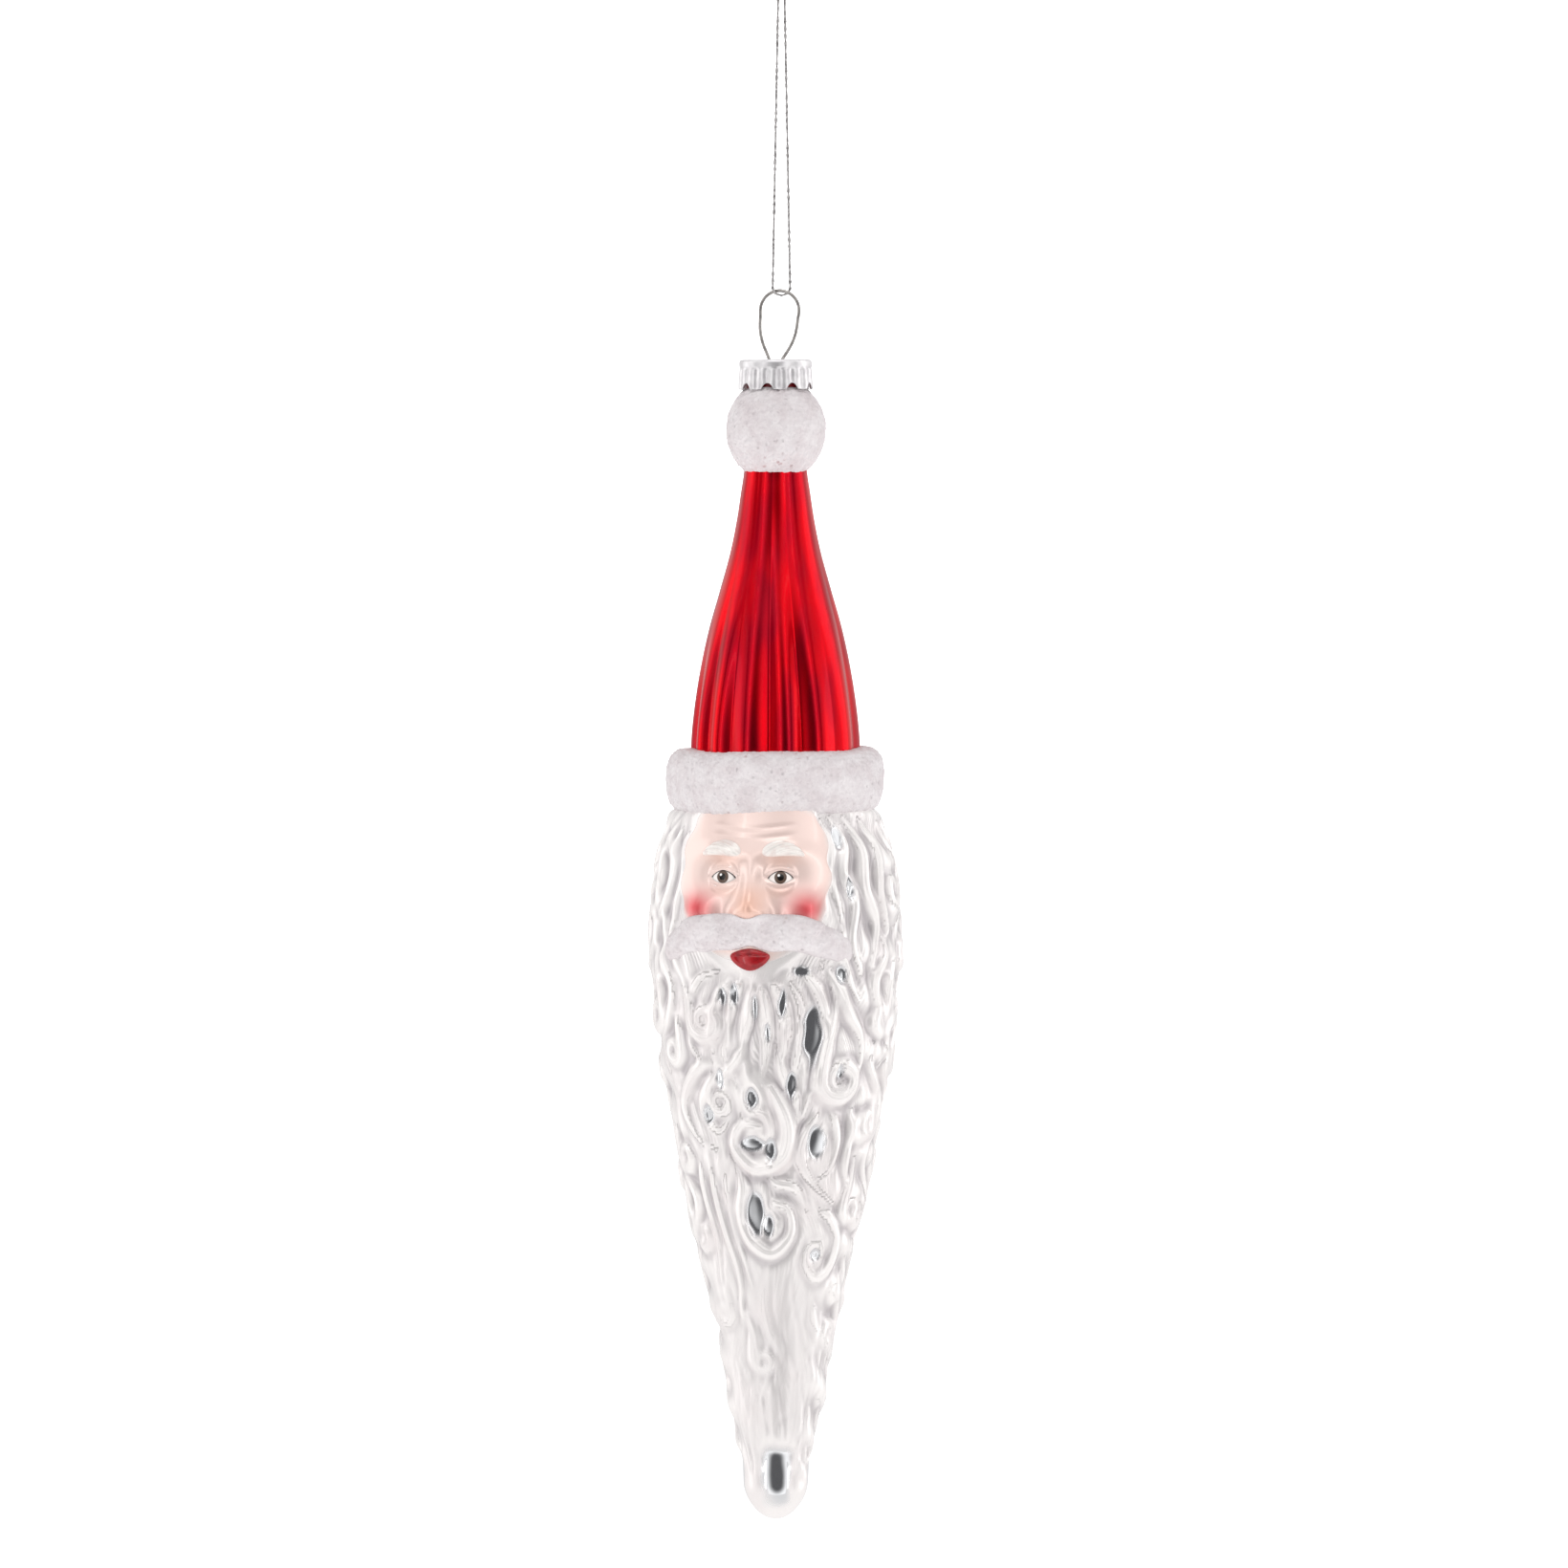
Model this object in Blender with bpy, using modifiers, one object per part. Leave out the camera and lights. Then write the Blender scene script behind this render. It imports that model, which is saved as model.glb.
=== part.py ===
"""Icicle hanging ornament: a hollow blown-glass head of a bearded old man in a tall fluted hat.

The beard runs down to a point. Glitter, lacquer and enamel coats lie on the glass, a ribbed metal cap covers
its open neck, and a spring-wire loop held in the neck hangs on a loop of metallic thread.
Metres, +Z up. The origin is the knot at the top of the thread, and the face looks towards -Y.
"""

import math

import bmesh
import bpy
from mathutils import Matrix, Vector
from mathutils.bvhtree import BVHTree

MM = 0.001

# Fits
GAP = 0.3 * MM  # between any two pieces that touch on the real ornament
LACQUER = 0.2 * MM  # thickness of lacquer and enamel
GLITTER = 0.4 * MM  # thickness of glitter on its binder

# Hanging thread
THREAD_DIAMETER = 0.5 * MM
KNOT_RADIUS = 1.0 * MM
KNOT_TO_LOOP = 52.0 * MM  # knot centre down to the top of the wire loop
STRAND_SPREAD_TOP = 0.38 * MM  # half the distance between the strands under the knot
STRAND_SPREAD_LOOP = 1.2 * MM  # the same where they pass the wire

# Wire loop
WIRE_DIAMETER = 0.54 * MM
LOOP_HEIGHT = 10.9 * MM  # above the cap
LOOP_WIDTH = 6.7 * MM
LOOP_LEAN = math.radians(5.0)  # towards +X
LEG_LENGTH = 16.0 * MM  # below the cap's top
LEG_CENTRES = 1.9 * MM  # between the legs in the cap's hole

# Cap
CAP_HEIGHT = 4.6 * MM
CAP_RADIUS = 5.75 * MM
CAP_WALL = 0.3 * MM
CAP_TAPER = 0.15 * MM  # the top is this much smaller in radius
CAP_EDGE = 0.5 * MM  # radius of its top edge
CAP_RIBS = 18
CAP_RIB_DEPTH = 0.12 * MM
CAP_SCALLOPS = 9
CAP_SCALLOP_RISE = 0.9 * MM

# Glass
GLASS_WALL = 0.8 * MM
NECK_RADIUS = CAP_RADIUS - CAP_WALL - CAP_TAPER - CAP_RIB_DEPTH - GAP - 0.1 * MM
CAP_TO_POMPOM = 10.7 * MM  # cap top down to the pom-pom's centre
POMPOM_RADIUS = 7.6 * MM  # over its glitter
HAT_LENGTH = 42.9 * MM
HAT_TOP_RADIUS = 5.1 * MM  # over its lacquer
HAT_BASE_RADIUS = 13.6 * MM  # over its lacquer
HAT_FLUTES = 22
HAT_FLUTE_DEPTH = 0.35 * MM
BRIM_HEIGHT = 10.0 * MM
BRIM_OVERHANG = 3.3 * MM  # beyond the hat's base
HEAD_LENGTH = 109.4 * MM  # brim's lower edge to the tip of the beard
HEAD_RADIUS = 19.4 * MM
DEPTH_SHARE = 0.9  # the head's depth over its width
BEARD_LOCKS = 11
LOCK_DEPTH = 0.55 * MM
LOCK_SWAY = 1.3  # radians of phase that a lock swings to each side
LOCK_PITCH = 34.0 * MM  # of one swing
# the head's outline below the brim's foot: (share of its length, share of its radius)
HEAD_OUTLINE = (
    (0.05, 0.91), (0.12, 0.985), (0.20, 1.0), (0.31, 0.965), (0.42, 0.86), (0.53, 0.74),
    (0.64, 0.595), (0.75, 0.47), (0.86, 0.355), (0.94, 0.265), (0.98, 0.175), (1.0, 0.0),
)

# Face, measured down from the brim and sideways from the middle
EYE_DROP = 9.2 * MM
EYE_CENTRES = 9.0 * MM
EYE_WIDTH = 4.2 * MM
BROW_DROP = 5.4 * MM
NOSE_DROP = 13.2 * MM
CHEEK_DROP = 14.0 * MM
CHEEK_CENTRES = 14.0 * MM
FACE_WIDTH = 27.0 * MM
MOUSTACHE_DROP = 17.8 * MM
MOUSTACHE_WIDTH = 31.6 * MM
MOUSTACHE_HEIGHT = 5.0 * MM
MOUSTACHE_DROOP = 2.4 * MM
LIPS_DROP = 22.4 * MM
LIPS_WIDTH = 5.6 * MM

# Fineness
GLASS_STEPS = 44
CAP_STEPS = 54

# Places that follow from the sizes above
BRIM_RADIUS = HAT_BASE_RADIUS + BRIM_OVERHANG  # over its glitter
LOOP_TOP_Z = -KNOT_TO_LOOP
CAP_TOP_Z = LOOP_TOP_Z - LOOP_HEIGHT
NECK_TOP_Z = CAP_TOP_Z - CAP_WALL - GAP
POMPOM_Z = CAP_TOP_Z - CAP_TO_POMPOM
POMPOM_GLASS_RADIUS = POMPOM_RADIUS - GAP - GLITTER
HAT_TOP_GLASS_RADIUS = HAT_TOP_RADIUS - GAP - LACQUER
HAT_BASE_GLASS_RADIUS = HAT_BASE_RADIUS - GAP - LACQUER
BRIM_GLASS_RADIUS = BRIM_RADIUS - GAP - GLITTER
HAT_TOP_Z = POMPOM_Z - math.sqrt(POMPOM_GLASS_RADIUS**2 - HAT_TOP_GLASS_RADIUS**2) - 1.0 * MM
HAT_BASE_Z = HAT_TOP_Z - HAT_LENGTH
BRIM_BASE_Z = HAT_BASE_Z - BRIM_HEIGHT
TIP_Z = BRIM_BASE_Z - HEAD_LENGTH
# the wire's own line, whose top leans over to stand straight below the knot
LOOP_ARC_RADIUS = (LOOP_WIDTH - WIRE_DIAMETER) / 2
LOOP_RISE = LOOP_HEIGHT - WIRE_DIAMETER / 2
LOOP_SHIFT = LOOP_RISE * math.sin(LOOP_LEAN)
AXIS = Vector((-LOOP_SHIFT, 0.0, 0.0))  # the glass's and the cap's vertical axis

# Colours: sRGB, roughness and metallic value
FINISHES = {
    "glass_body": ("EDEAE6", 0.18, 0.9),
    "hat_lacquer": ("C20A14", 0.15, 0.9),
    "pompom_glitter": ("E9DEDF", 0.8, 0.1),
    "brim_glitter": ("E9E7E8", 0.8, 0.1),
    "moustache_glitter": ("E6E4E6", 0.8, 0.1),
    "face_enamel": ("EFC3B0", 0.25, 0.3),
    "lips_enamel": ("C8141E", 0.3, 0.0),
    "brow": ("F2EDEA", 0.3, 0.3),
    "eye": ("1C1614", 0.25, 0.0),
    "cap": ("C4C4C8", 0.3, 1.0),
    "wire_loop": ("A8A8AC", 0.25, 1.0),
    "hanging_thread": ("B4B4BA", 0.4, 0.8),
    "thread_knot": ("B4B4BA", 0.4, 0.8),
}


def clear_scene():
    for obj in list(bpy.data.objects):
        bpy.data.objects.remove(obj, do_unlink=True)


def linear(channel):
    return channel / 12.92 if channel <= 0.04045 else ((channel + 0.055) / 1.055) ** 2.4


def material(name):
    """A Principled material with the named finish, made once."""
    if name in bpy.data.materials:
        return bpy.data.materials[name]
    code, roughness, metallic = FINISHES[name]
    mat = bpy.data.materials.new(name)
    mat.use_nodes = True
    shader = mat.node_tree.nodes["Principled BSDF"]
    colour = [linear(int(code[i : i + 2], 16) / 255) for i in (0, 2, 4)]
    shader.inputs["Base Color"].default_value = (*colour, 1.0)
    shader.inputs["Roughness"].default_value = roughness
    shader.inputs["Metallic"].default_value = metallic
    return mat


def add_object(name, data, finish, collection, place=(0.0, 0.0, 0.0)):
    """An object of the ornament, with its finish."""
    obj = bpy.data.objects.new(name, data)
    obj.location = place
    collection.objects.link(obj)
    obj.data.materials.append(material(finish))
    return obj


def baked(obj):
    """The mesh that an object's modifiers give. The object goes."""
    bpy.context.view_layer.update()
    mesh = bpy.data.meshes.new_from_object(obj.evaluated_get(bpy.context.evaluated_depsgraph_get()))
    data = obj.data
    bpy.data.objects.remove(obj)
    if isinstance(data, bpy.types.Mesh):
        bpy.data.meshes.remove(data)
    return mesh


def turned(outline, steps, collection):
    """The open surface that an outline of (radius, height) points, top to bottom, sweeps round Z."""
    profile = bpy.data.meshes.new("outline")
    points = [(radius, 0.0, height) for radius, height in outline]
    profile.from_pydata(points, [(i, i + 1) for i in range(len(points) - 1)], [])
    obj = bpy.data.objects.new("outline", profile)
    collection.objects.link(obj)
    screw = obj.modifiers.new("Turn", "SCREW")
    screw.axis = "Z"
    screw.steps = screw.render_steps = steps
    screw.use_merge_vertices = True
    screw.merge_threshold = 0.00001
    screw.use_smooth_shade = True
    return baked(obj)


def add_wall(obj, thickness, outwards):
    wall = obj.modifiers.new("Wall", "SOLIDIFY")
    wall.thickness = thickness
    wall.offset = 1.0 if outwards else -1.0


def smooth_line(points, count):
    """count points along a Catmull-Rom curve through the given ones, of two or three numbers each."""
    points = [Vector(p) for p in points]
    ends = [2 * points[0] - points[1], *points, 2 * points[-1] - points[-2]]
    line = []
    for i in range(count):
        along = i / (count - 1) * (len(points) - 1)
        k = min(int(along), len(points) - 2)
        t = along - k
        a, b, c, d = ends[k : k + 4]
        line.append(0.5 * (2 * b + (c - a) * t + (2 * a - 5 * b + 4 * c - d) * t**2 + (3 * b - a - 3 * c + d) * t**3))
    return line


def ease(low, high, value):
    """From 0 at low to 1 at high, level at both."""
    t = min(max((value - low) / (high - low), 0.0), 1.0)
    return t * t * (3 - 2 * t)


# The glass's outline and relief


def neck_outline():
    pompom_top = POMPOM_Z + math.sqrt(POMPOM_GLASS_RADIUS**2 - NECK_RADIUS**2)
    return [(NECK_RADIUS, NECK_TOP_Z), (NECK_RADIUS, (NECK_TOP_Z + pompom_top) / 2)]


def pompom_outline(rows=8):
    start = math.acos(NECK_RADIUS / POMPOM_GLASS_RADIUS)
    end = -math.acos(HAT_TOP_GLASS_RADIUS / POMPOM_GLASS_RADIUS)
    angles = [start + (end - start) * i / (rows - 1) for i in range(rows)]
    return [(POMPOM_GLASS_RADIUS * math.cos(a), POMPOM_Z + POMPOM_GLASS_RADIUS * math.sin(a)) for a in angles]


def hat_outline(rows=9):
    points = []
    for i in range(rows):
        t = i / (rows - 1)
        share = 0.45 * t + 0.55 * ease(0.0, 1.0, t)
        radius = HAT_TOP_GLASS_RADIUS + (HAT_BASE_GLASS_RADIUS - HAT_TOP_GLASS_RADIUS) * share
        points.append((radius, HAT_TOP_Z + (HAT_BASE_Z - HAT_TOP_Z) * t))
    return points


def brim_outline(rows=6):
    """Half an upright oval outside the hat's base and the head's top."""
    foot = HAT_BASE_GLASS_RADIUS + 0.6 * MM
    middle = (HAT_BASE_Z + BRIM_BASE_Z) / 2
    points = []
    for i in range(rows):
        angle = math.radians(68.0 - 136.0 * i / (rows - 1))
        radius = foot + (BRIM_GLASS_RADIUS - foot) * math.cos(angle) ** 0.6
        points.append((radius, middle + BRIM_HEIGHT / 2 * math.sin(angle)))
    return points


def head_outline(rows=21):
    """From the brim's foot to the tip of the beard."""
    top = (0.0, brim_outline()[-1][0] / HEAD_RADIUS)
    line = smooth_line((top, *HEAD_OUTLINE), rows)
    points = [(max(p.y, 0.0) * HEAD_RADIUS, BRIM_BASE_Z - p.x * HEAD_LENGTH) for p in line]
    return points[:-1] + [(0.0, TIP_Z)]


# lumps of the face: (drop below the brim, distance from the middle, half width, half height, rise)
FACE_FORMS = (
    (NOSE_DROP, 0.0, 3.0 * MM, 2.8 * MM, 1.3 * MM),
    (NOSE_DROP - 4.0 * MM, 0.0, 2.6 * MM, 3.6 * MM, 0.7 * MM),
    (CHEEK_DROP, CHEEK_CENTRES / 2, 3.2 * MM, 2.8 * MM, 0.9 * MM),
    (EYE_DROP, EYE_CENTRES / 2, 2.6 * MM, 1.8 * MM, -0.7 * MM),
    (BROW_DROP, EYE_CENTRES / 2, 3.6 * MM, 1.4 * MM, 0.7 * MM),
    (LIPS_DROP + 3.5 * MM, 0.0, 4.0 * MM, 2.0 * MM, 0.7 * MM),
)


def relief(angle, height):
    """How far the glass's surface stands out from its turned outline. angle is 0 at the face."""
    if height > HAT_BASE_Z:
        fade = ease(HAT_TOP_Z, HAT_TOP_Z - 8 * MM, height) * ease(HAT_BASE_Z, HAT_BASE_Z + 3 * MM, height)
        return HAT_FLUTE_DEPTH * math.cos(HAT_FLUTES * angle) * fade
    if height > BRIM_BASE_Z:
        return 0.0
    drop = BRIM_BASE_Z - height
    across = HEAD_RADIUS * angle
    rise = 0.0
    for middle, side, wide, tall, out in FACE_FORMS:
        away = (abs(across) - side) / wide
        rise += out * math.exp(-(away**2) - ((drop - middle) / tall) ** 2)
    beside_face = ease(MOUSTACHE_WIDTH / 2, MOUSTACHE_WIDTH / 2 + 3 * MM, abs(across))
    chin = LIPS_DROP + 3 * MM
    hair = max(beside_face, ease(chin, chin + 8 * MM, drop))
    hair *= ease(0.0, 6 * MM, drop) * ease(0.0, 12 * MM, height - TIP_Z)
    sway = LOCK_SWAY * math.sin(2 * math.pi * drop / LOCK_PITCH)
    return rise + hair * LOCK_DEPTH * math.cos(BEARD_LOCKS * angle + sway)


def oval(height):
    """The depth over the width: round at the hat's top, and DEPTH_SHARE at the head."""
    return 1.0 - (1.0 - DEPTH_SHARE) * ease(HAT_TOP_Z, BRIM_BASE_Z, height)


def press_to_form(mesh):
    """Gives a turned surface the mould's oval section and its relief."""
    for vertex in mesh.vertices:
        radius = math.hypot(vertex.co.x, vertex.co.y)
        if radius < 0.01 * MM:
            continue
        angle = math.atan2(vertex.co.x, -vertex.co.y)
        scale = (radius + relief(angle, vertex.co.z)) / radius
        vertex.co.x *= scale
        vertex.co.y *= scale * oval(vertex.co.z)


def lift(mesh, distance):
    """Moves a surface out along its own normals."""
    moves = [vertex.normal.copy() * distance for vertex in mesh.vertices]
    for vertex, move in zip(mesh.vertices, moves):
        vertex.co += move


def split_into_triangles(mesh):
    """Fixes how each warped four-sided face bends, so that the coats laid on it meet the same surface."""
    work = bmesh.new()
    work.from_mesh(mesh)
    bmesh.ops.triangulate(work, faces=work.faces)
    work.to_mesh(mesh)
    work.free()


def add_glass(collection):
    outline = neck_outline() + pompom_outline() + hat_outline() + brim_outline() + head_outline()
    mesh = turned(outline, GLASS_STEPS, collection)
    press_to_form(mesh)
    split_into_triangles(mesh)
    glass = add_object("glass_body", mesh, "glass_body", collection, AXIS)
    add_wall(glass, GLASS_WALL, outwards=False)
    return BVHTree.FromPolygons([v.co.copy() for v in mesh.vertices], [p.vertices[:] for p in mesh.polygons])


def shortened(outline, first, last):
    """An outline without those shares of its first and its last stretch."""
    points = [Vector(p) for p in outline]
    return [points[0].lerp(points[1], first), *points[1:-1], points[-1].lerp(points[-2], last)]


def add_turned_coat(name, outline, thickness, collection):
    """A coat all round the glass, over one stretch of its outline."""
    mesh = turned(outline, GLASS_STEPS, collection)
    press_to_form(mesh)
    lift(mesh, GAP)
    add_wall(add_object(name, mesh, name, collection, AXIS), thickness, outwards=True)


def add_patch(name, finish, middle, half_width, lower, upper, cells, lifted, thickness, glass, collection):
    """A coat on the front. middle is its distance to the side, and lower and upper give its two edges, as drops
    below the brim, from -1 to 1 across it. cells are the numbers across and down."""
    grid = bmesh.new()
    bmesh.ops.create_grid(grid, x_segments=cells[0], y_segments=cells[1], size=1.0)
    for vertex in grid.verts:
        across, up = vertex.co.x, (vertex.co.y + 1) / 2
        angle = (middle + across * half_width) / HEAD_RADIUS
        drop = lower(across) + (upper(across) - lower(across)) * up
        outwards = Vector((math.sin(angle), -math.cos(angle), 0.0))
        start = Vector((0.0, 0.0, BRIM_BASE_Z - drop))
        place, normal, _, _ = glass.ray_cast(start + outwards * 2 * HEAD_RADIUS, -outwards)
        vertex.co = place + normal * lifted
    mesh = bpy.data.meshes.new(name)
    grid.to_mesh(mesh)
    grid.free()
    mesh.shade_smooth()
    add_wall(add_object(name, mesh, finish, collection, AXIS), thickness, outwards=True)


def rounded(across, half_height):
    """The half height of a patch with round ends, which stay a little open at the very end."""
    return half_height * math.sqrt(1.0 - (0.94 * across) ** 2)


def moustache_middle(across):
    return MOUSTACHE_DROP + MOUSTACHE_DROOP * across**2


def add_face(glass, collection):
    moustache_half = MOUSTACHE_HEIGHT / 2
    add_patch(
        "face_enamel", "face_enamel", 0.0, FACE_WIDTH / 2,
        lambda u: moustache_middle(u * FACE_WIDTH / MOUSTACHE_WIDTH) - moustache_half - GLITTER,
        lambda u: 1.0 * MM + 2.5 * MM * u**4,
        (28, 16), GAP, LACQUER, glass, collection,
    )
    add_patch(
        "moustache_glitter", "moustache_glitter", 0.0, MOUSTACHE_WIDTH / 2,
        lambda u: moustache_middle(u) + rounded(u, moustache_half),
        lambda u: moustache_middle(u) - rounded(u, moustache_half),
        (32, 6), GAP, GLITTER, glass, collection,
    )
    lips_half = 1.3 * MM
    add_patch(
        "lips_enamel", "lips_enamel", 0.0, LIPS_WIDTH / 2,
        lambda u: LIPS_DROP + rounded(u, lips_half),
        lambda u: LIPS_DROP - rounded(u, lips_half) * 0.5,
        (8, 3), GAP, LACQUER, glass, collection,
    )
    over_enamel = GAP + LACQUER + GAP
    for side, sign in (("left", 1), ("right", -1)):
        add_patch(
            f"eye_{side}", "eye", sign * EYE_CENTRES / 2, EYE_WIDTH / 2,
            lambda u: EYE_DROP + rounded(u, 0.9 * MM),
            lambda u: EYE_DROP - rounded(u, 0.9 * MM),
            (8, 3), over_enamel, LACQUER, glass, collection,
        )
        add_patch(
            f"brow_{side}", "brow", sign * EYE_CENTRES / 2, 3.4 * MM,
            lambda u: BROW_DROP + 0.8 * MM * u**2 + rounded(u, 0.6 * MM),
            lambda u: BROW_DROP + 0.8 * MM * u**2 - rounded(u, 0.6 * MM),
            (10, 2), over_enamel, LACQUER, glass, collection,
        )


def add_cap(collection):
    """A thin pressed cap: a flat top with a hole for the wire, ribs, and a scalloped lower edge."""
    top_radius = CAP_RADIUS - CAP_TAPER
    hole = LEG_CENTRES / 2 + WIRE_DIAMETER / 2 + GAP
    edge = top_radius - CAP_EDGE
    outline = [(hole, CAP_TOP_Z), (edge, CAP_TOP_Z)]
    for degrees in (45.0, 0.0):
        bend = math.radians(degrees)
        outline.append((edge + CAP_EDGE * math.cos(bend), CAP_TOP_Z - CAP_EDGE * (1 - math.sin(bend))))
    rows = 4
    for i in range(1, rows + 1):
        share = i / rows
        drop = CAP_EDGE + (CAP_HEIGHT - CAP_EDGE) * share
        outline.append((top_radius + CAP_TAPER * share, CAP_TOP_Z - drop))
    mesh = turned(outline, CAP_STEPS, collection)
    for vertex in mesh.vertices:
        drop = CAP_TOP_Z - vertex.co.z
        angle = math.atan2(vertex.co.x, -vertex.co.y)
        skirt = ease(CAP_EDGE / 2, CAP_EDGE, drop)
        radius = math.hypot(vertex.co.x, vertex.co.y)
        scale = (radius + CAP_RIB_DEPTH * skirt * math.cos(CAP_RIBS * angle)) / radius
        vertex.co.x *= scale
        vertex.co.y *= scale
        arch = max(math.cos(CAP_SCALLOPS * angle), 0.0)
        vertex.co.z += CAP_SCALLOP_RISE * arch * ease(CAP_HEIGHT / 2, CAP_HEIGHT, drop)
    add_wall(add_object("cap", mesh, "cap", collection, AXIS), CAP_WALL, outwards=False)


def add_tube(name, points, diameter, collection, place):
    """A round tube with closed ends along the points."""
    curve = bpy.data.curves.new(name, "CURVE")
    curve.dimensions = "3D"
    curve.bevel_depth = diameter / 2
    curve.bevel_resolution = 2
    curve.use_fill_caps = True
    spline = curve.splines.new("POLY")
    spline.points.add(len(points) - 1)
    for slot, point in zip(spline.points, points):
        slot.co = (*point, 1.0)
    add_object(name, curve, name, collection, place)


def wire_line():
    """The wire's middle line: up one leg from the neck, round the loop, and down the other leg."""
    leg = LEG_CENTRES / 2
    splay = NECK_RADIUS - GLASS_WALL - WIRE_DIAMETER / 2 - 2 * GAP
    centre_rise = LOOP_RISE - LOOP_ARC_RADIUS
    # the side runs from the hole to touch the arc
    far = math.hypot(leg, centre_rise)
    touch = math.acos(LOOP_ARC_RADIUS / far) - math.atan2(centre_rise, leg)
    arc = []
    steps = 16
    for i in range(steps + 1):
        angle = touch + (math.pi - 2 * touch) * i / steps
        arc.append((LOOP_ARC_RADIUS * math.cos(angle), centre_rise + LOOP_ARC_RADIUS * math.sin(angle)))
    lean = Matrix.Rotation(LOOP_LEAN, 3, "Y")
    loop = [lean @ Vector((x, 0.0, z)) for x, z in arc]
    down = [Vector((leg + (splay - leg) * t, 0.0, -LEG_LENGTH * t)) for t in (1.0, 0.75, 0.5, 0.25, 0.0)]
    left = [Vector((-p.x, p.y, p.z)) for p in reversed(down)]
    return [Vector((0.0, 0.0, CAP_TOP_Z)) + p for p in down + loop + left]


def thread_line():
    """The thread's route: down one strand, under the top of the wire from front to back, and up the other."""
    under = WIRE_DIAMETER / 2 + GAP + THREAD_DIAMETER / 2  # from the wire's middle line to the thread's
    wire_top = LOOP_TOP_Z - WIRE_DIAMETER / 2
    start_z = -KNOT_RADIUS - GAP - THREAD_DIAMETER / 2
    bight = []
    steps = 10
    for i in range(steps + 1):
        turn = math.pi * (i / steps - 0.5)
        across = STRAND_SPREAD_LOOP * 2 * turn / math.pi
        sag = LOOP_ARC_RADIUS - math.sqrt(LOOP_ARC_RADIUS**2 - across**2)
        bight.append(Vector((across, under * math.sin(turn), wire_top - sag - under * math.cos(turn))))
    rows = 24
    strand = []
    for i in range(rows):
        share = i / rows
        x = STRAND_SPREAD_TOP + (STRAND_SPREAD_LOOP - STRAND_SPREAD_TOP) * share
        strand.append(Vector((-x, -under * share, start_z + (bight[0].z - start_z) * share)))
    other = [Vector((-p.x, -p.y, p.z)) for p in reversed(strand)]
    return strand + bight + other


def add_knot(collection):
    ball = bmesh.new()
    bmesh.ops.create_uvsphere(ball, u_segments=12, v_segments=8, radius=KNOT_RADIUS)
    mesh = bpy.data.meshes.new("thread_knot")
    ball.to_mesh(mesh)
    ball.free()
    mesh.shade_smooth()
    add_object("thread_knot", mesh, "thread_knot", collection)


def build():
    clear_scene()
    ornament = bpy.data.collections.new("icicle_ornament")
    bpy.context.scene.collection.children.link(ornament)
    glass = add_glass(ornament)
    add_turned_coat("pompom_glitter", shortened(pompom_outline(), 0.3, 0.5), GLITTER, ornament)
    add_turned_coat("hat_lacquer", shortened(hat_outline(), 0.1, 0.2), LACQUER, ornament)
    add_turned_coat("brim_glitter", brim_outline(), GLITTER, ornament)
    add_face(glass, ornament)
    add_cap(ornament)
    add_tube("wire_loop", wire_line(), WIRE_DIAMETER, ornament, AXIS)
    add_tube("hanging_thread", thread_line(), THREAD_DIAMETER, ornament, (0.0, 0.0, 0.0))
    add_knot(ornament)


build()
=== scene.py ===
# %% [markdown]
# # Icicle hanging ornament
#
# A hand-blown glass ornament about 19 cm long: the head of a bearded old man in a tall fluted hat.
# Its beard runs down to a point, so the whole piece hangs like an icicle. The glass is silvered
# inside, red lacquer covers the hat, glitter stands for fur, and a little metal cap with a
# spring-wire loop closes the neck.
#
# The mechanical model gives the frame: the joints, the bodies and every place. This script makes
# the looks.

# %% Load the frame
import math

import bpy
import numpy as np
from mathutils import Matrix, Vector


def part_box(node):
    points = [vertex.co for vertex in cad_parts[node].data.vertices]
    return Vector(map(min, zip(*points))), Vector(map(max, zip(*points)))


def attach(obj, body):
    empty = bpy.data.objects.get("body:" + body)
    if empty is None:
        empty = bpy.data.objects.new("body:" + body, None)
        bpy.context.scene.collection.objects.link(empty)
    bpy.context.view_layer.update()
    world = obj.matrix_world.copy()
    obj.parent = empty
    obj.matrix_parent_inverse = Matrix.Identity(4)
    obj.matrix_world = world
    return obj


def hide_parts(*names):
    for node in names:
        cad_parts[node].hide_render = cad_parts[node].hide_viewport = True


MM = 0.001
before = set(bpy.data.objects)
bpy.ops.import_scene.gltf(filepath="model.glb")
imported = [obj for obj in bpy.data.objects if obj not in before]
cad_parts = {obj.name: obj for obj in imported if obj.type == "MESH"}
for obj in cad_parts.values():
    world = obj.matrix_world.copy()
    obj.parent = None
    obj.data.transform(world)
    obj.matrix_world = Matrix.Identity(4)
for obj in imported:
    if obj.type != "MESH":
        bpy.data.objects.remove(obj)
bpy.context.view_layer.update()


def box_of(node):
    """The lowest and the highest corner of a node, in mm."""
    return [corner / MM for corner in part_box(node)]


cap_low, cap_high = box_of("cap")
pompom_low, pompom_high = box_of("pompom_glitter")

AXIS_X = (cap_low.x + cap_high.x) / 2  # the glass hangs a little to one side of the thread
CAP_TOP = cap_high.z
HAT_TOP = box_of("hat_lacquer")[1].z
TIP = box_of("glass_body")[0].z
HEAD_LENGTH = 109.4  # from the brim to the tip of the beard
BRIM_FOOT = TIP + HEAD_LENGTH
print("axis at x =", round(AXIS_X, 2), "mm")
print("tip at", round(TIP, 1), "mm, brim's foot at", round(BRIM_FOOT, 1), "mm")

# %% [markdown]
# ## Camera
#
# A long lens from over a metre away keeps the tall, thin ornament free of perspective. The camera
# stands a little to the figure's left and looks almost level.

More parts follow.
